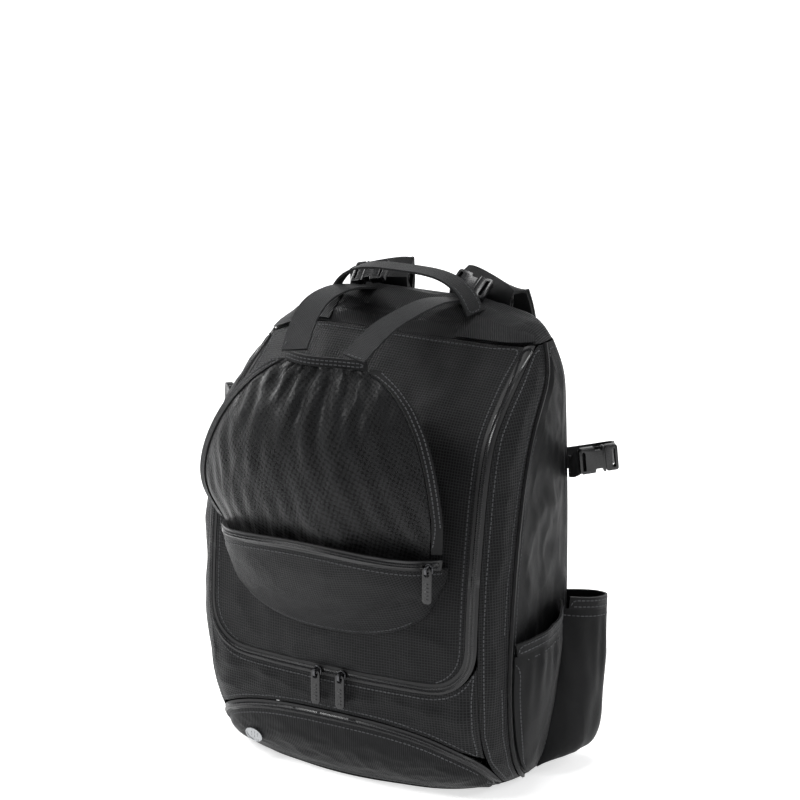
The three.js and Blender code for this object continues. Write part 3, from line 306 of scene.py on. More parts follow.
def new_material(name):
    material = bpy.data.materials.new(name)
    material.use_nodes = True
    tree = material.node_tree
    tree.nodes.clear()
    w = Wiring(tree)
    surface = w.node("ShaderNodeBsdfPrincipled")
    output = w.node("ShaderNodeOutputMaterial")
    tree.links.new(surface.outputs[0], output.inputs[0])
    coordinates = w.node("ShaderNodeTexCoord")
    return material, w, surface, coordinates.outputs


def made_once(name):
    """Names a material, whose maker then runs only the first time that it is asked for."""

    def wrap(make):
        return lambda: bpy.data.materials.get(name) or make(name)

    return wrap


def shade(colour, strength):
    return [min(1.0, c * strength) for c in colour]


def rgba(colour, strength=1.0):
    return shade(colour, strength) + [1.0]


def finish_surface(surface, **values):
    """Sets the shader's own values, each named as its socket is, with _ for a space."""
    for name, value in values.items():
        surface.inputs[name.replace("_", " ")].default_value = value


def bumped(w, surface, *layers):
    """Layers of (height, strength, depth), the broadest first."""
    normal = None
    for height, strength, depth in layers:
        bump = w.node("ShaderNodeBump")
        bump.inputs["Strength"].default_value = strength
        bump.inputs["Distance"].default_value = depth
        w.put(bump.inputs["Height"], height)
        w.put(bump.inputs["Normal"], normal)
        normal = bump.outputs["Normal"]
    w.put(surface.inputs["Normal"], normal)


def cloth_material(
    name, pattern, values, dark, light, depth, rough=(0.52, 0.36), sheen=0.02, wear=0.5
):
    """A woven cloth: pattern names its group, whose raised threads take the lighter colour."""
    material, w, surface, places = new_material(name)
    woven = group_node(w, pattern, places["UV"], **values)
    worn = group_node(w, "Wear", places["Object"], Amount=wear)
    lines = w.math("MULTIPLY_ADD", w.math("SUBTRACT", worn["Grain"], 0.5), 0.5, woven["Lines"])
    ground = w.mix(worn["Tone"], rgba(dark), rgba(dark, 1.7))
    raised = w.mix(worn["Tone"], rgba(light, 0.8), rgba(light, 1.35))
    w.put(surface.inputs["Base Color"], w.mix(w.math("MAXIMUM", lines, 0.0), ground, raised))
    w.put(surface.inputs["Roughness"], w.fade(woven["Lines"], 0.0, 1.0, rough[0], rough[1]))
    finish_surface(surface, Specular_IOR_Level=0.13, Sheen_Weight=sheen, Sheen_Roughness=0.45)
    bumped(w, surface, (worn["Grain"], 0.25, 0.0003), (woven["Height"], 0.9, depth))
    return material


@made_once("Ripstop cloth")
def ripstop(name):
    c = colours()
    values = {"Pitch": sizes().grid_pitch}
    return cloth_material(name, "Grid cloth", values, c.cloth, c.cloth_light, depth=0.00035)


@made_once("Ribbed cloth")
def ribbed(name):
    c = colours()
    values = {"Pitch": sizes().rib_pitch, "Slant": 0.22}
    return cloth_material(name, "Ribs", values, c.cloth, shade(c.cloth_light, 0.8), depth=0.0003)


@made_once("Plain nylon")
def nylon(name):
    c = colours()
    light = shade(c.cloth_light, 0.5)
    return cloth_material(
        name, "Plain weave", {"Pitch": 0.0008}, c.cloth, light, rough=(0.5, 0.44), depth=0.00012, wear=0.7
    )


@made_once("Binding tape")
def binding_tape(name):
    c = colours()
    light = shade(c.cloth_light, 0.5)
    return cloth_material(name, "Ribs", {"Pitch": 0.0011}, c.binding, light, sheen=0.08, depth=0.00015)


@made_once("Webbing")
def webbing(name):
    c = colours()
    values = {"Pitch": 0.0017, "Line": 0.42, "Weave": 0.0009}
    return cloth_material(name, "Grid cloth", values, c.cloth, c.cloth_light, 0.0003, rough=(0.55, 0.42))


@made_once("Spacer mesh")
def air_mesh(name):
    c = colours()
    values = {"Pitch": 0.0034, "Line": 0.4, "Weave": 0.0011}
    dark, light = shade(c.cloth, 0.6), shade(c.cloth_light, 0.85)
    return cloth_material(name, "Grid cloth", values, dark, light, 0.0006, rough=(0.75, 0.6), sheen=0.05)


@made_once("Sewing thread")
def sewing_thread(name):
    c = colours()
    dark, light = shade(c.cloth_light, 2.2), shade(c.cloth_light, 5.0)
    return cloth_material(name, "Ribs", {"Pitch": 0.0006}, dark, light, depth=0.0001)


@made_once("Zip tape")
def zip_cloth(name):
    """A reversed coil zip: plain tape, with the coil's turns showing as fine ribs across the middle."""
    c = colours()
    material, w, surface, places = new_material(name)
    across, along, _ = w.split(places["UV"])
    middle = w.fade(w.math("ABSOLUTE", across), 0.0027, 0.0021)
    coil = w.math("MULTIPLY_ADD", w.wave(along, sizes().coil_pitch), 0.5, 0.5)
    ribs = w.math("MULTIPLY", coil, middle)
    worn = group_node(w, "Wear", places["Object"], Amount=0.5)
    ground = w.mix(worn["Tone"], rgba(c.binding), rgba(c.binding, 1.9))
    from_line = w.math("ABSOLUTE", w.math("SUBTRACT", w.math("ABSOLUTE", across), 0.0041))
    line = w.math("MULTIPLY", w.fade(from_line, 0.0006, 0.0002), 0.7)
    lined = w.mix(line, ground, rgba(c.cloth_light, 1.5))
    w.put(surface.inputs["Base Color"], w.mix(ribs, lined, rgba(c.cloth_light, 0.9)))
    w.put(surface.inputs["Roughness"], w.fade(middle, 0.0, 1.0, 0.6, 0.34))
    finish_surface(surface, Specular_IOR_Level=0.5)
    bumped(w, surface, (worn["Grain"], 0.2, 0.0003), (ribs, 0.8, 0.0003))
    return material


@made_once("Gear net")
def net_cloth(name):
    """The net: threads and holes at the mesh's own size, so what is behind it shows through."""
    c = colours()
    material, w, surface, places = new_material(name)
    knitted = group_node(w, "Net", places["UV"], Pitch=sizes().mesh_pitch, Stripe=sizes().stripe_pitch)
    worn = group_node(w, "Wear", places["Object"], Amount=1.0)
    light = w.mix(knitted["Stripes"], rgba(c.net), rgba(c.net, 2.6))
    w.put(surface.inputs["Base Color"], w.mix(worn["Tone"], light, rgba(c.net, 2.1)))
    solid = w.math("MULTIPLY_ADD", knitted["Stripes"], 0.3, 0.62)
    w.put(surface.inputs["Alpha"], w.math("MAXIMUM", knitted["Thread"], solid))
    w.put(surface.inputs["Roughness"], w.fade(knitted["Stripes"], 0.0, 1.0, 0.58, 0.4))
    finish_surface(surface, Sheen_Weight=0.05, Specular_IOR_Level=0.16)
    bumped(w, surface, (knitted["Thread"], 0.6, 0.0003), (knitted["Stripes"], 0.5, 0.0005))
    return material


@made_once("Moulded plastic")
def moulded_plastic(name):
    """Glossy moulded plastic with faint flow marks and fine scratches."""
    c = colours()
    material, w, surface, places = new_material(name)
    worn = group_node(w, "Wear", places["Object"], Amount=0.8)
    w.put(surface.inputs["Base Color"], w.mix(worn["Tone"], rgba(c.plastic), rgba(c.plastic, 2.2)))
    w.put(surface.inputs["Roughness"], w.fade(worn["Grain"], 0.3, 0.7, 0.2, 0.36))
    finish_surface(surface, Specular_IOR_Level=0.4, Coat_Weight=0.12, Coat_Roughness=0.12)
    bumped(w, surface, (worn["Grain"], 0.12, 0.0004))
    return material


def metal_material(name, colour, rough, grime):
    """A plated metal, darker where grime lies."""
    material, w, surface, places = new_material(name)
    worn = group_node(w, "Wear", places["Object"], Amount=1.0)
    w.put(surface.inputs["Base Color"], w.mix(worn["Tone"], rgba(colour), rgba(colour, grime)))
    w.put(surface.inputs["Roughness"], w.fade(worn["Grain"], 0.25, 0.75, rough, rough + 0.16))
    finish_surface(surface, Metallic=1.0)
    bumped(w, surface, (worn["Grain"], 0.15, 0.0002))
    return material


@made_once("Dark nickel")
def slider_metal(name):
    return metal_material(name, colours().slider, 0.22, 0.6)


@made_once("Badge silver")
def badge_silver(name):
    return metal_material(name, colours().silver, 0.2, 0.8)


# ---------------------------------------------------------------- shaping


def clamp(value):
    return max(0.0, min(1.0, value))


def pick_none():
    """Leaves edit mode and deselects everything."""
    if bpy.context.object and bpy.context.object.mode != "OBJECT":
        bpy.ops.object.mode_set(mode="OBJECT")
    bpy.ops.object.select_all(action="DESELECT")


def pick_only(*objects):
    """Selects these alone and makes the first active."""
    pick_none()
    for o in objects:
        o.select_set(True)
    bpy.context.view_layer.objects.active = objects[0]


def apply_modifier(piece, kind, **settings):
    pick_only(piece)
    modifier = piece.modifiers.new(kind.title(), kind)
    for key, value in settings.items():
        setattr(modifier, key, value)
    bpy.ops.object.modifier_apply(modifier=modifier.name)


def mesh_of(piece):
    mesh = bmesh.new()
    mesh.from_mesh(piece.data)
    return mesh


def copy_of(node, name):
    """A copy of a CAD node with its loose triangles merged into clean quads."""
    source = frame["nodes"][node]
    pick_only(source)
    bpy.ops.object.duplicate()
    piece = bpy.context.active_object
    piece.name = name
    piece.data.name = name
    bpy.ops.object.parent_clear(type="CLEAR_KEEP_TRANSFORM")
    piece.data.materials.clear()
    bpy.ops.object.mode_set(mode="EDIT")
    bpy.ops.mesh.select_all(action="SELECT")
    bpy.ops.mesh.remove_doubles(threshold=MERGE_GAP)
    bpy.ops.mesh.tris_convert_to_quads(face_threshold=QUAD_FOLD, shape_threshold=QUAD_SHAPE)
    bpy.ops.object.mode_set(mode="OBJECT")
    if piece.data.has_custom_normals:
        bpy.ops.mesh.customdata_custom_splitnormals_clear()
    return piece


def bag_axis(point):
    """A point inside the bag, level with this one as far as the shoulders."""
    spread, middle, shoulder = 0.45, 0.035, 0.4
    return Vector((point.x * spread, middle, min(point.z, shoulder)))


def note_rims(piece, facing):
    """Creases a piece's sharp edges, marks them as seams and keeps the outer rim for stitching."""
    mesh = mesh_of(piece)
    mesh.normal_update()
    crease = mesh.edges.layers.float.get("crease_edge") or mesh.edges.layers.float.new("crease_edge")
    facing_it = 0.2
    rims = []
    on_rim = set()
    for edge in mesh.edges:
        if len(edge.link_faces) != 2 or edge.calc_face_angle(0) < SHARP_EDGE:
            continue
        edge[crease] = 1.0
        edge.seam = True
        on_rim.update(v.index for v in edge.verts)
        main = max(edge.link_faces, key=lambda f: f.calc_area())
        centre = main.calc_center_median()
        if main.normal.dot(facing(centre)) > facing_it:
            inward = centre - (edge.verts[0].co + edge.verts[1].co) / 2
            rims.append((edge.verts[0].index, edge.verts[1].index, inward))
    places = [v.co.copy() for v in mesh.verts]
    mesh.to_mesh(piece.data)
    mesh.free()
    loose = piece.vertex_groups.new(name="loose")
    inner = [v.index for v in piece.data.vertices if v.index not in on_rim]
    if inner:
        loose.add(inner, 1.0, "REPLACE")
    return chains(rims, places)


def chains(rims, places):
    """Joins rim edges into lines of (place, direction to the cloth)."""
    near = {}
    for a, b, inward in rims:
        near.setdefault(a, []).append((b, inward))
        near.setdefault(b, []).append((a, inward))
    lines, used = [], set()
    starts = [v for v in near if len(near[v]) == 1] + list(near)
    for start in starts:
        if start in used:
            continue
        line, here = [start], start
        used.add(start)
        while True:
            onward = [v for v, _ in near[here] if v not in used]
            if not onward:
                break
            here = onward[0]
            used.add(here)
            line.append(here)
        if len(near[start]) == 2 and len(line) > 2 and start in [v for v, _ in near[here]]:
            line.append(start)
        if len(line) > 1:
            lines.append([(places[v], sum((i for _, i in near[v]), Vector()).normalized()) for v in line])
    return lines


def lay_flat(piece, lengthwise=False):
    """Unwraps a piece at true size, with V up the piece or along its length."""
    pick_only(piece)
    bpy.ops.object.mode_set(mode="EDIT")
    bpy.ops.mesh.select_all(action="SELECT")
    bpy.ops.uv.unwrap(method="ANGLE_BASED", margin=0.001)
    bpy.ops.object.mode_set(mode="OBJECT")
    mesh = mesh_of(piece)
    layer = mesh.loops.layers.uv.active
    least_area, level = 1e-12, 1e-3
    waiting = dict.fromkeys(mesh.faces)  # in the mesh's own order, so each run is the same
    while waiting:
        island, front = [], [waiting.popitem()[0]]
        while front:
            face = front.pop()
            island.append(face)
            for edge in face.edges:
                if edge.seam:
                    continue
                for other in edge.link_faces:
                    if other in waiting:
                        del waiting[other]
                        front.append(other)
        loops = [loop for face in island for loop in face.loops]
        flat = np.array([loop[layer].uv for loop in loops])
        place = np.array([loop.vert.co for loop in loops])
        covered = 0.0
        for face in island:
            corners = [loop[layer].uv for loop in face.loops]
            turned = zip(corners, corners[1:] + corners[:1])
            covered += abs(sum(a.x * b.y - b.x * a.y for a, b in turned)) / 2
        scale = math.sqrt(sum(face.calc_area() for face in island) / max(covered, least_area))
        flat = (flat - flat.mean(axis=0)) * scale
        spread = flat.T @ flat + np.eye(2) * least_area
        if lengthwise:
            direction = np.linalg.eigh(spread)[1][:, 1]  # the island's long axis
            direction = direction * (1 if direction[1] >= 0 else -1)
        else:
            direction = np.linalg.solve(spread, flat.T @ (place[:, 2] - place[:, 2].mean()))
            if np.linalg.norm(direction) < level:  # it lies flat, so no way is up
                direction = np.array([0.0, 1.0])
        direction = direction / max(np.linalg.norm(direction), TINY)
        turned = np.stack([flat @ np.array([direction[1], -direction[0]]), flat @ direction], axis=1)
        for loop, uv in zip(loops, turned):
            loop[layer].uv = uv
    mesh.to_mesh(piece.data)
    mesh.free()


def outwards(point):
    return (point - bag_axis(point)).normalized()


def towards(x, y, z):
    return lambda point: Vector((x, y, z))


forwards, backwards, upwards = towards(0, -1, 0), towards(0, 1, 0), towards(0, 0, 1)


def positions(piece):
    places = np.empty(len(piece.data.vertices) * 3)
    piece.data.vertices.foreach_get("co", places)
    return places.reshape(-1, 3)


def push(piece, amount, facing):
    """Moves each vertex outwards by amount(place, weight). The weight is 0 at a seam."""
    loose = piece.vertex_groups["loose"].index
    moved = []
    for vertex in piece.data.vertices:
        weight = next((g.weight for g in vertex.groups if g.group == loose), 0.0)
        normal = vertex.normal
        side = facing(vertex.co)
        if normal.dot(side) < 0:
            normal = -normal
        moved.append(vertex.co + normal * amount(vertex.co, weight))
    for vertex, place in zip(piece.data.vertices, moved):
        vertex.co = place
    piece.data.update()


def wrinkle(point, stretch, size, seed):
    """Soft folds: ridged noise, stretched by a factor along each axis, from -1 to 1."""
    seed_step, finer, ridges = (3.7, 1.9, 5.3), 2.3, 0.6
    place = Vector([at / factor for at, factor in zip(point, stretch)]) / size
    place += Vector([seed * step for step in seed_step])
    return (1 - 2 * abs(noise.noise(place))) * ridges + noise.noise(place * finer) * (1 - ridges)


def smooth_faces(piece):
    pick_only(piece)
    bpy.ops.object.shade_smooth_by_angle(angle=SMOOTH_EDGE)


def dress(piece, material, *nodes, body=BAG):
    """Gives a finished piece its material in its slot and its body, and hides the CAD nodes that it stands
    for.
    """
    piece.data.materials.clear()
    piece.data.materials.append(material)
    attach(piece, body)
    if nodes:
        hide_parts(*nodes)


def sew(node, name, material, levels, folds=None, facing=outwards, lengthwise=False):
    """A cloth piece over a CAD panel: subdivided, folded and laid out for its weave."""
    piece = copy_of(node, name)
    lines = note_rims(piece, facing)
    lay_flat(piece, lengthwise)
    finer = {"levels": levels, "render_levels": levels, "boundary_smooth": "PRESERVE_CORNERS"}
    apply_modifier(piece, "SUBSURF", **finer)
    if folds:
        push(piece, folds, facing)
    smooth_faces(piece)
    dress(piece, material, node)
    SURFACES[name] = (surface_tree(piece), lines)
    return piece


def close_gap(piece, neighbour, reach):
    """Draws a panel's edge to its neighbour's, where the frame leaves an open seam between them."""
    search, band, left_open = 1.6, 0.006, 0.0002
    tree = SURFACES[neighbour][0]
    near = []
    for vertex in piece.data.vertices:
        place, _, _, far = tree.find_nearest(vertex.co, reach * search)
        if place is not None:
            near.append((vertex, place, far))
    least = {}
    for vertex, _, far in near:
        level = round(vertex.co.z / band)
        for shared in (level - 1, level, level + 1):
            least[shared] = min(least.get(shared, 1.0), far)
    for vertex, place, far in near:
        gap = max(0.0, least[round(vertex.co.z / band)] - left_open)
        share = max(0.0, 1 - (far - gap) / reach)
        vertex.co += (place - vertex.co).normalized() * gap * share * share * (3 - 2 * share)
    piece.data.update()
    SURFACES[piece.name] = (surface_tree(piece), SURFACES[piece.name][1])


def surface_tree(piece):
    mesh = mesh_of(piece)
    tree = BVHTree.FromBMesh(mesh)
    mesh.free()
    return tree


def distances(points):
    """How far each place is along a line."""
    lengths = [0.0]
    for a, b in zip(points, points[1:]):
        lengths.append(lengths[-1] + (b - a).length)
    return lengths


def evenly(points, step):
    """The same line with its places at even steps."""
    apart = 1e-6
    path = [points[0]]
    for point in points[1:]:
        if (point - path[-1]).length > apart:
            path.append(point)
    lengths = distances(path)
    count = max(2, round(lengths[-1] / step) + 1)
    made, i = [], 0
    for k in range(count):
        want = lengths[-1] * k / (count - 1)
        while i < len(path) - 2 and lengths[i + 1] < want:
            i += 1
        t = (want - lengths[i]) / max(lengths[i + 1] - lengths[i], TINY)
        made.append(path[i].lerp(path[i + 1], t))
    return made


def rounded(points, passes=2):
    """Smooths a line of places, keeping its ends."""
    for _ in range(passes):
        middle = [(a + b * 2 + c) / 4 for a, b, c in zip(points, points[1:], points[2:])]
        points = [points[0], *middle, points[-1]]
    return points


def everywhere(place):
    return True


def seam_line(name, inset, keep=everywhere, step=0.004):
    """Lines on a sewn piece, a little in from its outer rim, as lists of (place, normal)."""
    tree, lines = SURFACES[name]
    found = []
    for line in lines:
        run = []
        runs = [run]
        for place, inward in line:
            if keep(place):
                run.append(place + inward * inset)
            elif run:
                run = []
                runs.append(run)
        for run in runs:
            if len(run) < 2:
                continue
            even = rounded(evenly(run, step))
            put = [tree.find_nearest(point)[:2] for point in even]
            found.append([(place, normal) for place, normal in put if place is not None])
    return found


def stitch_template():
    """One stitch: a short thread, a five-sided prism with flat ends."""
    pick_none()
    bpy.ops.mesh.primitive_cylinder_add(vertices=5, radius=1, depth=1, end_fill_type="TRIFAN")
    template = bpy.context.active_object
    mesh = mesh_of(template)
    bpy.data.objects.remove(template)
    return mesh


def stitch_rows(name, lines, material, length, gap, radius, lift=0.0):
    """A row of stitches along each line of (place, normal), joined into one piece."""
    shortest, broader = 0.3, 1.3
    template = stitch_template()
    rows = bmesh.new()
    for line in lines:
        for (here, normal), (there, _) in stitch_spans(line, length, gap):
            along = there - here
            if along.length < length * shortest:
                continue
            side = normal.cross(along).normalized()
            up = along.cross(side).normalized()
            middle = (here + there) / 2 + up * lift
            basis = Matrix((side * radius * broader, up * radius, along)).transposed().to_4x4()
            basis.translation = middle
            part = template.copy()
            bmesh.ops.transform(part, matrix=basis, verts=part.verts)
            temporary = bpy.data.meshes.new("stitch")
            part.to_mesh(temporary)
            rows.from_mesh(temporary)
            bpy.data.meshes.remove(temporary)
            part.free()
    template.free()
    piece = new_piece(name, rows)
    dress(piece, material)
    return piece


def stitch_spans(line, length, gap):
    """The two ends of each stitch along a line, as (place, normal)."""
    points = [place for place, _ in line]
    normals = [normal for _, normal in line]
    lengths = distances(points)

    def at(distance):
        i = min(int(np.searchsorted(lengths, distance)), len(points) - 1)
        i = max(i, 1)
        t = (distance - lengths[i - 1]) / max(lengths[i] - lengths[i - 1], TINY)
        return points[i - 1].lerp(points[i], t), normals[i]

    spans, start = [], gap
    while start + length < lengths[-1]:
        spans.append((at(start), at(start + length)))
        start += length + gap
    return spans


def new_piece(name, mesh):
    """An object from a finished bmesh, at the origin."""
    data = bpy.data.meshes.new(name)
    mesh.to_mesh(data)
    mesh.free()
    piece = bpy.data.objects.new(name, data)
    bpy.context.scene.collection.objects.link(piece)
    return piece


def swept(name, line, profile):
    """A solid with one section all along a line of (place, normal), with its width and length as its UV."""
    mesh = bmesh.new()
    layer = mesh.loops.layers.uv.new("UVMap")
    rings, far = [], [0.0]
    for i, (place, normal) in enumerate(line):
        before = line[max(i - 1, 0)][0]
        after = line[min(i + 1, len(line) - 1)][0]
        along = (after - before).normalized()
        side = along.cross(normal).normalized()
        up = side.cross(along).normalized()
        rings.append([mesh.verts.new(place + side * a + up * b) for a, b in profile])
        if i:
            far.append(far[-1] + (place - line[i - 1][0]).length)
    count = len(profile)
    around = [0.0]
    for k in range(count):
        a, b = profile[k], profile[(k + 1) % count]
        around.append(around[-1] + math.hypot(b[0] - a[0], b[1] - a[1]))
    for i in range(len(rings) - 1):
        for k in range(count):
            n = (k + 1) % count
            face = mesh.faces.new((rings[i][k], rings[i][n], rings[i + 1][n], rings[i + 1][k]))
            for loop, uv in zip(face.loops, ((k, i), (k + 1, i), (k + 1, i + 1), (k, i + 1))):
                loop[layer].uv = (around[uv[0]], far[uv[1]])
    mesh.faces.new(rings[0][::-1])
    mesh.faces.new(rings[-1])
    mesh.normal_update()
    bmesh.ops.recalc_face_normals(mesh, faces=mesh.faces)
    piece = new_piece(name, mesh)
    smooth_faces(piece)
    return piece


def round_section(radius, sides=8):
    turns = [math.tau * k / sides for k in range(sides)]
    return [(radius * math.cos(t), radius * math.sin(t)) for t in turns]


def tape_section(width, thickness, steps=5):
    """A flat tape whose edges are half as thick as its middle."""
    across = [2 * i / steps - 1 for i in range(steps + 1)]
    over = [(width / 2 * t, thickness / 2 * (1 - 0.5 * abs(t) ** 6)) for t in across]
    return over + [(a, -b) for a, b in over[::-1]]


def join_pieces(name, pieces):
    pick_only(*pieces)
    if len(pieces) > 1:
        bpy.ops.object.join()
    piece = bpy.context.active_object
    piece.name = name
    piece.data.name = name
    return piece


def tubes(name, lines, section, material):
    """One piece with the same section along each line."""
    made = [swept(f"{name}_{i}", line, section) for i, line in enumerate(lines) if len(line) > 2]
    piece = join_pieces(name, made)
    dress(piece, material)
    return piece


def piece_box(piece):
    places = positions(piece)
    return Vector(places.min(axis=0)), Vector(places.max(axis=0))


def one_side_area(piece):
    """The cloth's area on one side, from the area of its whole skin."""
    mesh = mesh_of(piece)
    area = sum(face.calc_area() for face in mesh.faces)
    mesh.free()
    return area / 2


def declare_sheet(piece):
    """Measures a piece's box and its area on one side, and does nothing more with them."""
    low, high = piece_box(piece)
    area = one_side_area(piece)


# ---------------------------------------------------------------- operators


class StageOperator(bpy.types.Operator):
    """Makes the camera, the pale floor, its backdrop and the soft lights"""

    bl_idname = "backpack.make_stage"
    bl_label = "Make the stage"

    def execute(self, context):
        turn = (CAMERA_AIM - CAMERA_PLACE).to_track_quat("-Z", "Y").to_euler()
        bpy.ops.object.camera_add(location=CAMERA_PLACE, rotation=turn)
        camera = context.active_object
        camera.data.lens = sizes().lens
        camera.data.sensor_width = SENSOR_WIDTH
        camera.data.clip_end = FAR_CLIP
        context.scene.camera = camera
        context.scene.view_settings.view_transform = "Standard"
        self.floor(context)
        self.lights(context)
        return {"FINISHED"}

    def floor(self, context):
        pick_none()
        bpy.ops.mesh.primitive_plane_add(size=FLOOR_SIZE, location=(0, 0, -FLOOR_DROP))
        floor = context.active_object
        floor.name = "stage_floor"
        bpy.ops.object.mode_set(mode="EDIT")
        bpy.ops.mesh.select_all(action="DESELECT")
        mesh = bmesh.from_edit_mesh(floor.data)
        for edge in mesh.edges:
            edge.select = all(v.co.y > 0 for v in edge.verts)
        bmesh.update_edit_mesh(floor.data)
        bpy.ops.mesh.extrude_region_move(TRANSFORM_OT_translate={"value": (0, 1.5, 4)})
        bpy.ops.object.mode_set(mode="OBJECT")
        bpy.ops.object.transform_apply(location=True, rotation=True, scale=True)
        material, w, surface, places = new_material("Pale floor")
        cloudy = w.noise(places["Object"], 3.0, 3.0)
        pale = colours().floor
        w.put(surface.inputs["Base Color"], w.mix(cloudy, rgba(pale, 0.98), rgba(pale, 1.02)))
        finish_surface(surface, Roughness=0.9, Specular_IOR_Level=0.1)
        finish_surface(surface, Emission_Color=rgba(pale), Emission_Strength=0.7)
        floor.data.materials.append(material)

    def lights(self, context):
        lamps = (
            ("key", (-1.5, -1.5, 2.1), 1.0, 46),
            ("fill", (2.5, -1.6, 1.2), 1.4, 3),
            ("rim_left", (-1.9, 0.5, 1.1), 0.8, 22),
            ("rim_right", (1.9, 0.9, 1.6), 0.8, 8),
            ("top", (0.1, 0.4, 2.6), 1.0, 30),
        )
        for name, place, size, power in lamps:
            aim = (LIGHT_AIM - Vector(place)).to_track_quat("-Z", "Y").to_euler()
            bpy.ops.object.light_add(type="AREA", location=place, rotation=aim)
            lamp = context.active_object
            lamp.name = f"light_{name}"
            lamp.data.energy = power
            lamp.data.size = size
        world = bpy.data.worlds.new("Studio")
        world.use_nodes = True
        background = world.node_tree.nodes["Background"]
        background.inputs["Color"].default_value = (0.97, 0.98, 1.0, 1.0)
        background.inputs["Strength"].default_value = 0.3
        context.scene.world = world


class ShellOperator(bpy.types.Operator):
    """Sews the body's panels from the frame's, with their soft wrinkles"""

    bl_idname = "backpack.sew_shell"
    bl_label = "Sew the shell"

    def execute(self, context):
        depth = sizes().fold_depth
        upright, level = (1, 1, 1.7), (1.5, 1, 0.7)

        def soft(seed, amount):
            """Broad shallow wrinkles."""
            return lambda p, k: k * amount * depth * wrinkle(p, (1, 1, 1), 0.045, seed)

        def creased(seed, run, size, amount):
            """Broad wrinkles with finer ones among them."""

            def fold(p, k):
                slow = wrinkle(p, run, size, seed)
                fine = wrinkle(p, run, size * 0.42, seed + 5)
                return k * depth * amount * (slow + 0.45 * fine)

            return fold

        def puckered(p, k):
            """Upright ripples over the shoe zip, which deepen towards the left."""
            foot, rise, per_metre, half_width = 0.07, 0.045, 210, 0.13
            near_zip = clamp((p.z - foot) / rise)
            leftwards = 0.4 + 0.6 * max(0, -p.x / half_width)
            ripple = math.sin(p.x * per_metre + 3 * noise.noise(p * 14)) * near_zip * leftwards
            return k * depth * (1.1 * wrinkle(p, (1.6, 1, 0.7), 0.03, 5) + 0.9 * ripple)

        def rolled(p, k):
            """A low roll along the yoke's front edge, as far as the drooping shoulder."""
            foot, rise, front, droop, height = 0.416, 0.011, 0.045, -0.07, 0.0019
            above = clamp((p.z - foot) / rise)
            roll = math.sin(math.pi * above) if p.y < front and p.x > droop else 0.0
            return k * (height * roll + 1.2 * depth * wrinkle(p, (1.7, 1, 1), 0.035, 7))

        def quilted(p, k):
            """Padding with a sewn channel down the middle and one down each side."""
            middle_width, side_width, aside = 0.006, 0.004, 0.085
            puff, drop, foot = 0.004, 0.006, 0.03
            channel = math.exp(-((p.x / middle_width) ** 2))
            channel += math.exp(-(((abs(p.x) - aside) / side_width) ** 2))
            return k * (puff - drop * min(1, channel)) * min(1, p.z / foot)

        sheets = (
            ("gusset_left", ripstop(), 4, creased(1, upright, 0.045, 1.2)),
            ("gusset_right", ripstop(), 4, creased(2, upright, 0.045, 1.2)),
            ("side_panel_left", nylon(), 4, creased(3, (1, 0.8, 1.3), 0.06, 1.5)),
            ("side_panel_right", nylon(), 4, creased(4, (1, 0.8, 1.3), 0.06, 1.5)),
            ("front_lower", ripstop(), 4, puckered),
            ("base_panel", nylon(), 3, soft(6, 0.4)),
            ("top_yoke", ribbed(), 3, rolled),
            ("shoe_flap", ribbed(), 4, creased(8, level, 0.035, 0.8)),
            ("yoke_flap_left", ribbed(), 3, soft(9, 0.5)),
            ("yoke_flap_right", ribbed(), 3, soft(10, 0.5)),
        )
        for node, material, levels, folds in sheets:
            declare_sheet(sew(node, f"cloth_{node}", material, levels, folds))
        for side in SIDES:
            close_gap(bpy.data.objects["cloth_front_lower"], f"cloth_gusset_{side}", 0.02)
        door = sew("door_panel", "cloth_door", ripstop(), 3, soft(11, 1.0), forwards)
        back = sew("back_panel", "cloth_back", air_mesh(), 4, quilted, backwards)
        return {"FINISHED"}


class ZipOperator(bpy.types.Operator):
    """Makes the three zips: their tapes and coils"""

    bl_idname = "backpack.make_zips"
    bl_label = "Make the zips"

    def execute(self, context):
        zips = {"main_zip": 0.0043, "shoe_zip": 0.0038, "stow_zip": 0.0034}
        for node in zips:
            piece = sew(node, f"tape_{node}", zip_cloth(), 2, lengthwise=True)
            declare_sheet(piece)
        for node, inset in zips.items():
            self.coil(f"coil_{node}", seam_line(f"tape_{node}", inset, step=0.003))
        return {"FINISHED"}

    def coil(self, name, lines):
        """The turns of a coil, as short threads set close along the tape's edges."""
        pitch, turn, gap, radius, lift, least_places = sizes().coil_pitch, 0.8, 0.2, 0.0009, 0.0002, 12
        long_lines = [line for line in lines if len(line) > least_places]
        piece = stitch_rows(name, long_lines, moulded_plastic(), pitch * turn, pitch * gap, radius, lift)


class TrimOperator(bpy.types.Operator):
    """Makes the piping, the net's bindings and the hems of the pockets"""

    bl_idname = "backpack.make_trims"
    bl_label = "Make the trims"

    def execute(self, context):
        def gathered(p, k):
            """Small even gathers round a pocket's mouth."""
            middle, gathers, height = 0.02, 55, 0.0009
            turn = math.atan2(p.y - middle, p.x)
            return k * height * math.sin(turn * gathers + 2 * noise.noise(p * 30))

        tape = binding_tape()
        for side in SIDES:
            sew(f"piping_{side}", f"cord_piping_{side}", tape, 1, lengthwise=True)
            for node in (f"bottle_hem_{side}", f"bat_hem_{side}"):
                piece = sew(node, f"tape_{node}", tape, 3, gathered, lengthwise=True)
                declare_sheet(piece)
            node = f"net_binding_{side}"
            piece = sew(node, f"tape_{node}", tape, 3, None, forwards, lengthwise=True)
            declare_sheet(piece)
        return {"FINISHED"}


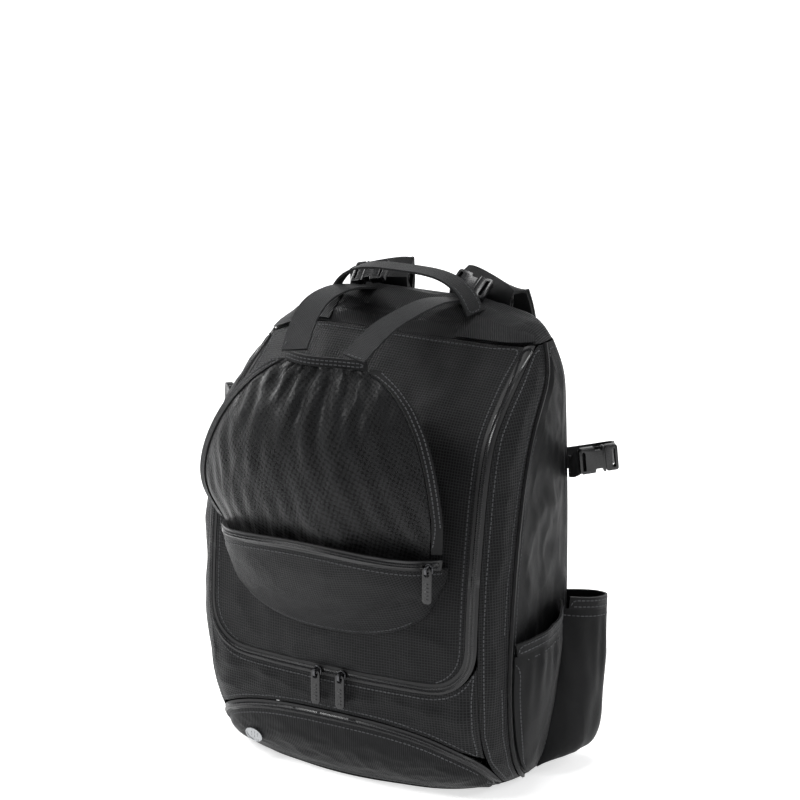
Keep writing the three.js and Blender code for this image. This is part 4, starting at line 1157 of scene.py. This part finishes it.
class NetOperator(bpy.types.Operator):
    """Gathers the gear net and its elastic hem"""

    bl_idname = "backpack.gather_net"
    bl_label = "Gather the net"

    def execute(self, context):
        def folds(p, k):
            """Pleats under the hem, and folds that fan out from the net's lower right corner."""
            pleat_foot, pleat_rise, pleat_pitch = 0.33, 0.07, 0.019
            corner_x, corner_z, corner_reach = 0.108, 0.203, 0.24
            up = clamp((p.z - pleat_foot) / pleat_rise)
            pleats = math.sin((p.x + 0.004 * noise.noise(p * 22)) * math.tau / pleat_pitch) * up ** 1.7
            reach = Vector((p.x - corner_x, p.z - corner_z))
            fade = clamp((reach.length - 0.015) / 0.03) * max(0.0, 1 - reach.length / corner_reach)
            angle = math.atan2(reach.y, -reach.x)
            drawn = (1 - 2 * abs(math.sin(angle * 3.3 + 1.9 * noise.noise(p * 11)))) * fade
            broad = wrinkle(p, (0.6, 1, 1.5), 0.045, 12)
            return k * (0.0024 * pleats + 0.0066 * drawn + 0.0034 * broad)

        def ruffled(p, k):
            height, pitch = 0.0011, 0.0095
            return k * height * math.sin((p.x + 0.003 * noise.noise(p * 30)) * math.tau / pitch)

        net = sew("helmet_net", "cloth_helmet_net", net_cloth(), 3, folds, forwards)
        hem = sew("net_hem", "tape_net_hem", binding_tape(), 3, ruffled, forwards, lengthwise=True)
        declare_sheet(net)
        declare_sheet(hem)
        return {"FINISHED"}


class PocketOperator(bpy.types.Operator):
    """Sews the stow pocket, the bottle pockets and the bat sleeves"""

    bl_idname = "backpack.sew_pockets"
    bl_label = "Sew the pockets"

    def execute(self, context):
        def crossing(p, start, end, width):
            """How near a place is to a crease line seen from the front, from 0 to 1."""
            a, b = Vector(start), Vector(end)
            here = Vector((p.x, p.z))
            t = clamp((here - a).dot(b - a) / (b - a).length_squared)
            far = (here - a.lerp(b, t)).length
            return math.exp(-((far / width) ** 2)) * (1 - 0.6 * t)

        def slack(p, k):
            """The pouch's loose folds, with two creases from its upper right corner."""
            broad = wrinkle(p, (1.5, 1, 0.8), 0.05, 21)
            fine = wrinkle(p, (1.1, 1, 0.9), 0.016, 22) * clamp((-p.x - 0.01) / 0.06)
            first = crossing(p, (0.094, 0.205), (-0.03, 0.166), 0.006)
            second = crossing(p, (0.082, 0.2), (0.03, 0.17), 0.005)
            return k * (0.0026 * broad + 0.0009 * fine - 0.0026 * first - 0.002 * second)

        def pleated(middle, pitch):
            """Upright pleats that fade out below a pocket's mouth."""
            mouth, fading = 0.155, 0.09

            def fold(p, k):
                down = clamp(1 - (mouth - p.z) / fading)
                along = p.y - middle + 0.004 * noise.noise(Vector((p.x, p.y, p.z * 0.3)) * 28)
                pleats = math.sin(along * math.tau / pitch) * down ** 1.4
                broad = wrinkle(p, (1, 1, 2.4), 0.03, 30 + pitch * 900)
                return k * (0.0011 * pleats + 0.0022 * broad)

            return fold

        pouch = sew("stow_pocket", "cloth_stow_pocket", ripstop(), 4, slack, forwards)
        declare_sheet(pouch)
        for side in SIDES:
            for node, middle, pitch in (("bottle_pocket", 0.0, 0.0125), ("bat_sleeve", 0.05, 0.0105)):
                piece = sew(f"{node}_{side}", f"cloth_{node}_{side}", nylon(), 4, pleated(middle, pitch))
                declare_sheet(piece)
        return {"FINISHED"}


class StrapOperator(bpy.types.Operator):
    """Makes the padded shoulder straps, the webbing and the carry handle"""

    bl_idname = "backpack.make_straps"
    bl_label = "Make the straps"

    def execute(self, context):
        def puffed(p, k):
            return k * (0.0012 + 0.0006 * wrinkle(p, (1, 1, 1), 0.03, 41))

        least_places = 12
        edge = round_section(0.0021)
        web = tape_section(0.025, 0.0018)
        for side in SIDES:
            for node in (f"helmet_strap_{side}", f"strap_web_{side}", f"bat_strap_{side}"):
                piece = sew(node, f"web_{node}", webbing(), 2, lengthwise=True)
                declare_sheet(piece)
            node = f"shoulder_strap_{side}"
            pad = sew(node, f"pad_{node}", nylon(), 3, puffed, backwards, lengthwise=True)
            rims = [line for line in seam_line(pad.name, 0.0015, step=0.008) if len(line) > least_places]
            tubes(f"bound_edge_{side}", rims, edge, binding_tape())
            sewn = tubes(f"web_on_pad_{side}", [self.middle(pad)], web, webbing())
            declare_sheet(sewn)
        handle = sew("carry_handle", "web_carry_handle", webbing(), 3, None, upwards, lengthwise=True)
        declare_sheet(handle)
        return {"FINISHED"}

    def middle(self, pad):
        """The line down the middle of a pad's outer face, as (place, normal)."""
        foot, top, step, band, lift = 0.205, 0.435, 0.008, 0.006, 0.001
        tree = SURFACES[pad.name][0]
        places = positions(pad)
        found = []
        for z in np.arange(foot, top, step):
            level = places[abs(places[:, 2] - z) < band]
            x = (level[:, 0].min() + level[:, 0].max()) / 2
            place, normal, _, _ = tree.ray_cast(Vector((x, 1, z)), Vector((0, -1, 0)))
            if place is not None:
                found.append((place + normal * lift, normal))
        smoothed = rounded([place for place, _ in found])
        return [(place, normal) for place, (_, normal) in zip(smoothed, found)]


class FittingOperator(bpy.types.Operator):
    """Finishes the buckles, ladder locks, sliders, pulls and badge"""

    bl_idname = "backpack.make_fittings"
    bl_label = "Make the fittings"

    def execute(self, context):
        buckles = ("strap_socket", "strap_plug", "bat_socket", "bat_plug", "ladder_lock")
        for side in SIDES:
            for kind in buckles:
                self.moulded(f"{kind}_{side}", "buckle", moulded_plastic(), 0.0009)
        for node in ("main_slider_left", "main_slider_right", "stow_slider"):
            self.moulded(node, "metal", slider_metal(), 0.0003)
        for node in ("main_pull_left", "main_pull_right", "stow_pull"):
            self.moulded(node, "grip", moulded_plastic(), 0.0005, body=node)
            self.ridges(node, node, 5, 0.0036, 0.42)
        for side in SIDES:
            self.ridges(f"ladder_lock_{side}", BAG, 3, 0.0028, 0.55)
        self.moulded("badge", "plate", badge_silver(), 0.0002)
        return {"FINISHED"}

    def ridges(self, node, body, count, pitch, span):
        """Low moulded ridges across a hanging part's outer face, for the fingers."""
        first, radius, soft_edge = 0.0045, 0.0007, 0.0003
        low, high = (Vector(corner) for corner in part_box(node))
        middle = (low + high) / 2
        face = high.y if middle.y > 0 else low.y
        made = []
        for i in range(count):
            place = (middle.x, face, low.z + first + i * pitch)
            pick_none()
            bpy.ops.mesh.primitive_cylinder_add(
                vertices=10, radius=radius, depth=(high.x - low.x) * span, location=place,
                rotation=(0, math.pi / 2, 0),
            )
            bpy.ops.object.transform_apply(location=True, rotation=True, scale=True)
            ridge = bpy.context.active_object
            apply_modifier(ridge, "BEVEL", width=soft_edge, segments=2, limit_method="ANGLE")
            made.append(ridge)
        piece = join_pieces(f"ridge_{node}", made)
        smooth_faces(piece)
        dress(piece, moulded_plastic(), body=body)

    def moulded(self, node, prefix, material, width, body=BAG):
        """A copy of a hard node with its edges softened."""
        piece = copy_of(node, f"{prefix}_{node}")
        settings = {"segments": 2, "limit_method": "ANGLE", "angle_limit": BEVEL_EDGE}
        apply_modifier(piece, "BEVEL", width=width, **settings)
        smooth_faces(piece)
        dress(piece, material, node, body=body)


class StitchOperator(bpy.types.Operator):
    """Sews the rows of stitches that show along the seams"""

    bl_idname = "backpack.sew_stitches"
    bl_label = "Sew the stitches"

    def execute(self, context):
        on_each_side = {
            "cloth_gusset": 0.0055, "cloth_bottle_pocket": 0.006, "cloth_bat_sleeve": 0.006,
            "pad_shoulder_strap": 0.007, "tape_net_binding": 0.0028, "tape_bat_hem": 0.003,
            "tape_bottle_hem": 0.003, "web_helmet_strap": 0.003, "cloth_side_panel": 0.006,
        }
        in_the_middle = {
            "cloth_back": 0.009, "cloth_door": 0.0045, "tape_net_hem": 0.0028, "web_carry_handle": 0.0035,
            "cloth_front_lower": 0.004, "cloth_shoe_flap": 0.004, "cloth_stow_pocket": 0.0045,
        }
        buckle_height, handle_foot = 0.425, 0.052
        shown = {
            "web_helmet_strap_left": lambda p: p.z < buckle_height,
            "web_helmet_strap_right": lambda p: p.z < buckle_height,
            "web_carry_handle": lambda p: abs(p.x) > handle_foot,
        }
        insets = {f"{name}_{side}": inset for side in SIDES for name, inset in on_each_side.items()}
        insets.update(in_the_middle)
        lines = []
        for name, inset in insets.items():
            lines += seam_line(name, inset, shown.get(name, everywhere))
        rows = [line for line in lines if len(line) > 3]
        size = sizes()
        stitch_rows("stitches_body", rows, sewing_thread(), size.stitch_length, size.stitch_gap, size.thread)
        return {"FINISHED"}


OPERATORS = (
    StageOperator, ShellOperator, ZipOperator, TrimOperator, NetOperator, PocketOperator, StrapOperator,
    FittingOperator, StitchOperator,
)


class BackpackPanel(bpy.types.Panel):
    """Lists the backpack's operators and sizes"""

    bl_label = "Backpack"
    bl_idname = "VIEW3D_PT_backpack"
    bl_space_type = "VIEW_3D"
    bl_region_type = "UI"
    bl_category = "Backpack"

    def draw(self, context):
        for operator in OPERATORS:
            self.layout.operator(operator.bl_idname)
        for settings in (context.scene.backpack_sizes, context.scene.backpack_colours):
            for name in settings.__annotations__:
                self.layout.prop(settings, name)


CLASSES = (BackpackSizes, BackpackColours, *OPERATORS, BackpackPanel)


def register():
    for made in CLASSES:
        bpy.utils.register_class(made)
    bpy.types.Scene.backpack_sizes = bpy.props.PointerProperty(type=BackpackSizes)
    bpy.types.Scene.backpack_colours = bpy.props.PointerProperty(type=BackpackColours)


def unregister():
    del bpy.types.Scene.backpack_sizes
    del bpy.types.Scene.backpack_colours
    for made in reversed(CLASSES):
        bpy.utils.unregister_class(made)


def main():
    register()
    bpy.ops.backpack.make_stage()
    bpy.ops.backpack.sew_shell()
    bpy.ops.backpack.make_zips()
    bpy.ops.backpack.make_trims()
    bpy.ops.backpack.gather_net()
    bpy.ops.backpack.sew_pockets()
    bpy.ops.backpack.make_straps()
    bpy.ops.backpack.make_fittings()
    bpy.ops.backpack.sew_stitches()
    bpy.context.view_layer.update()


if __name__ == "__main__":
    main()
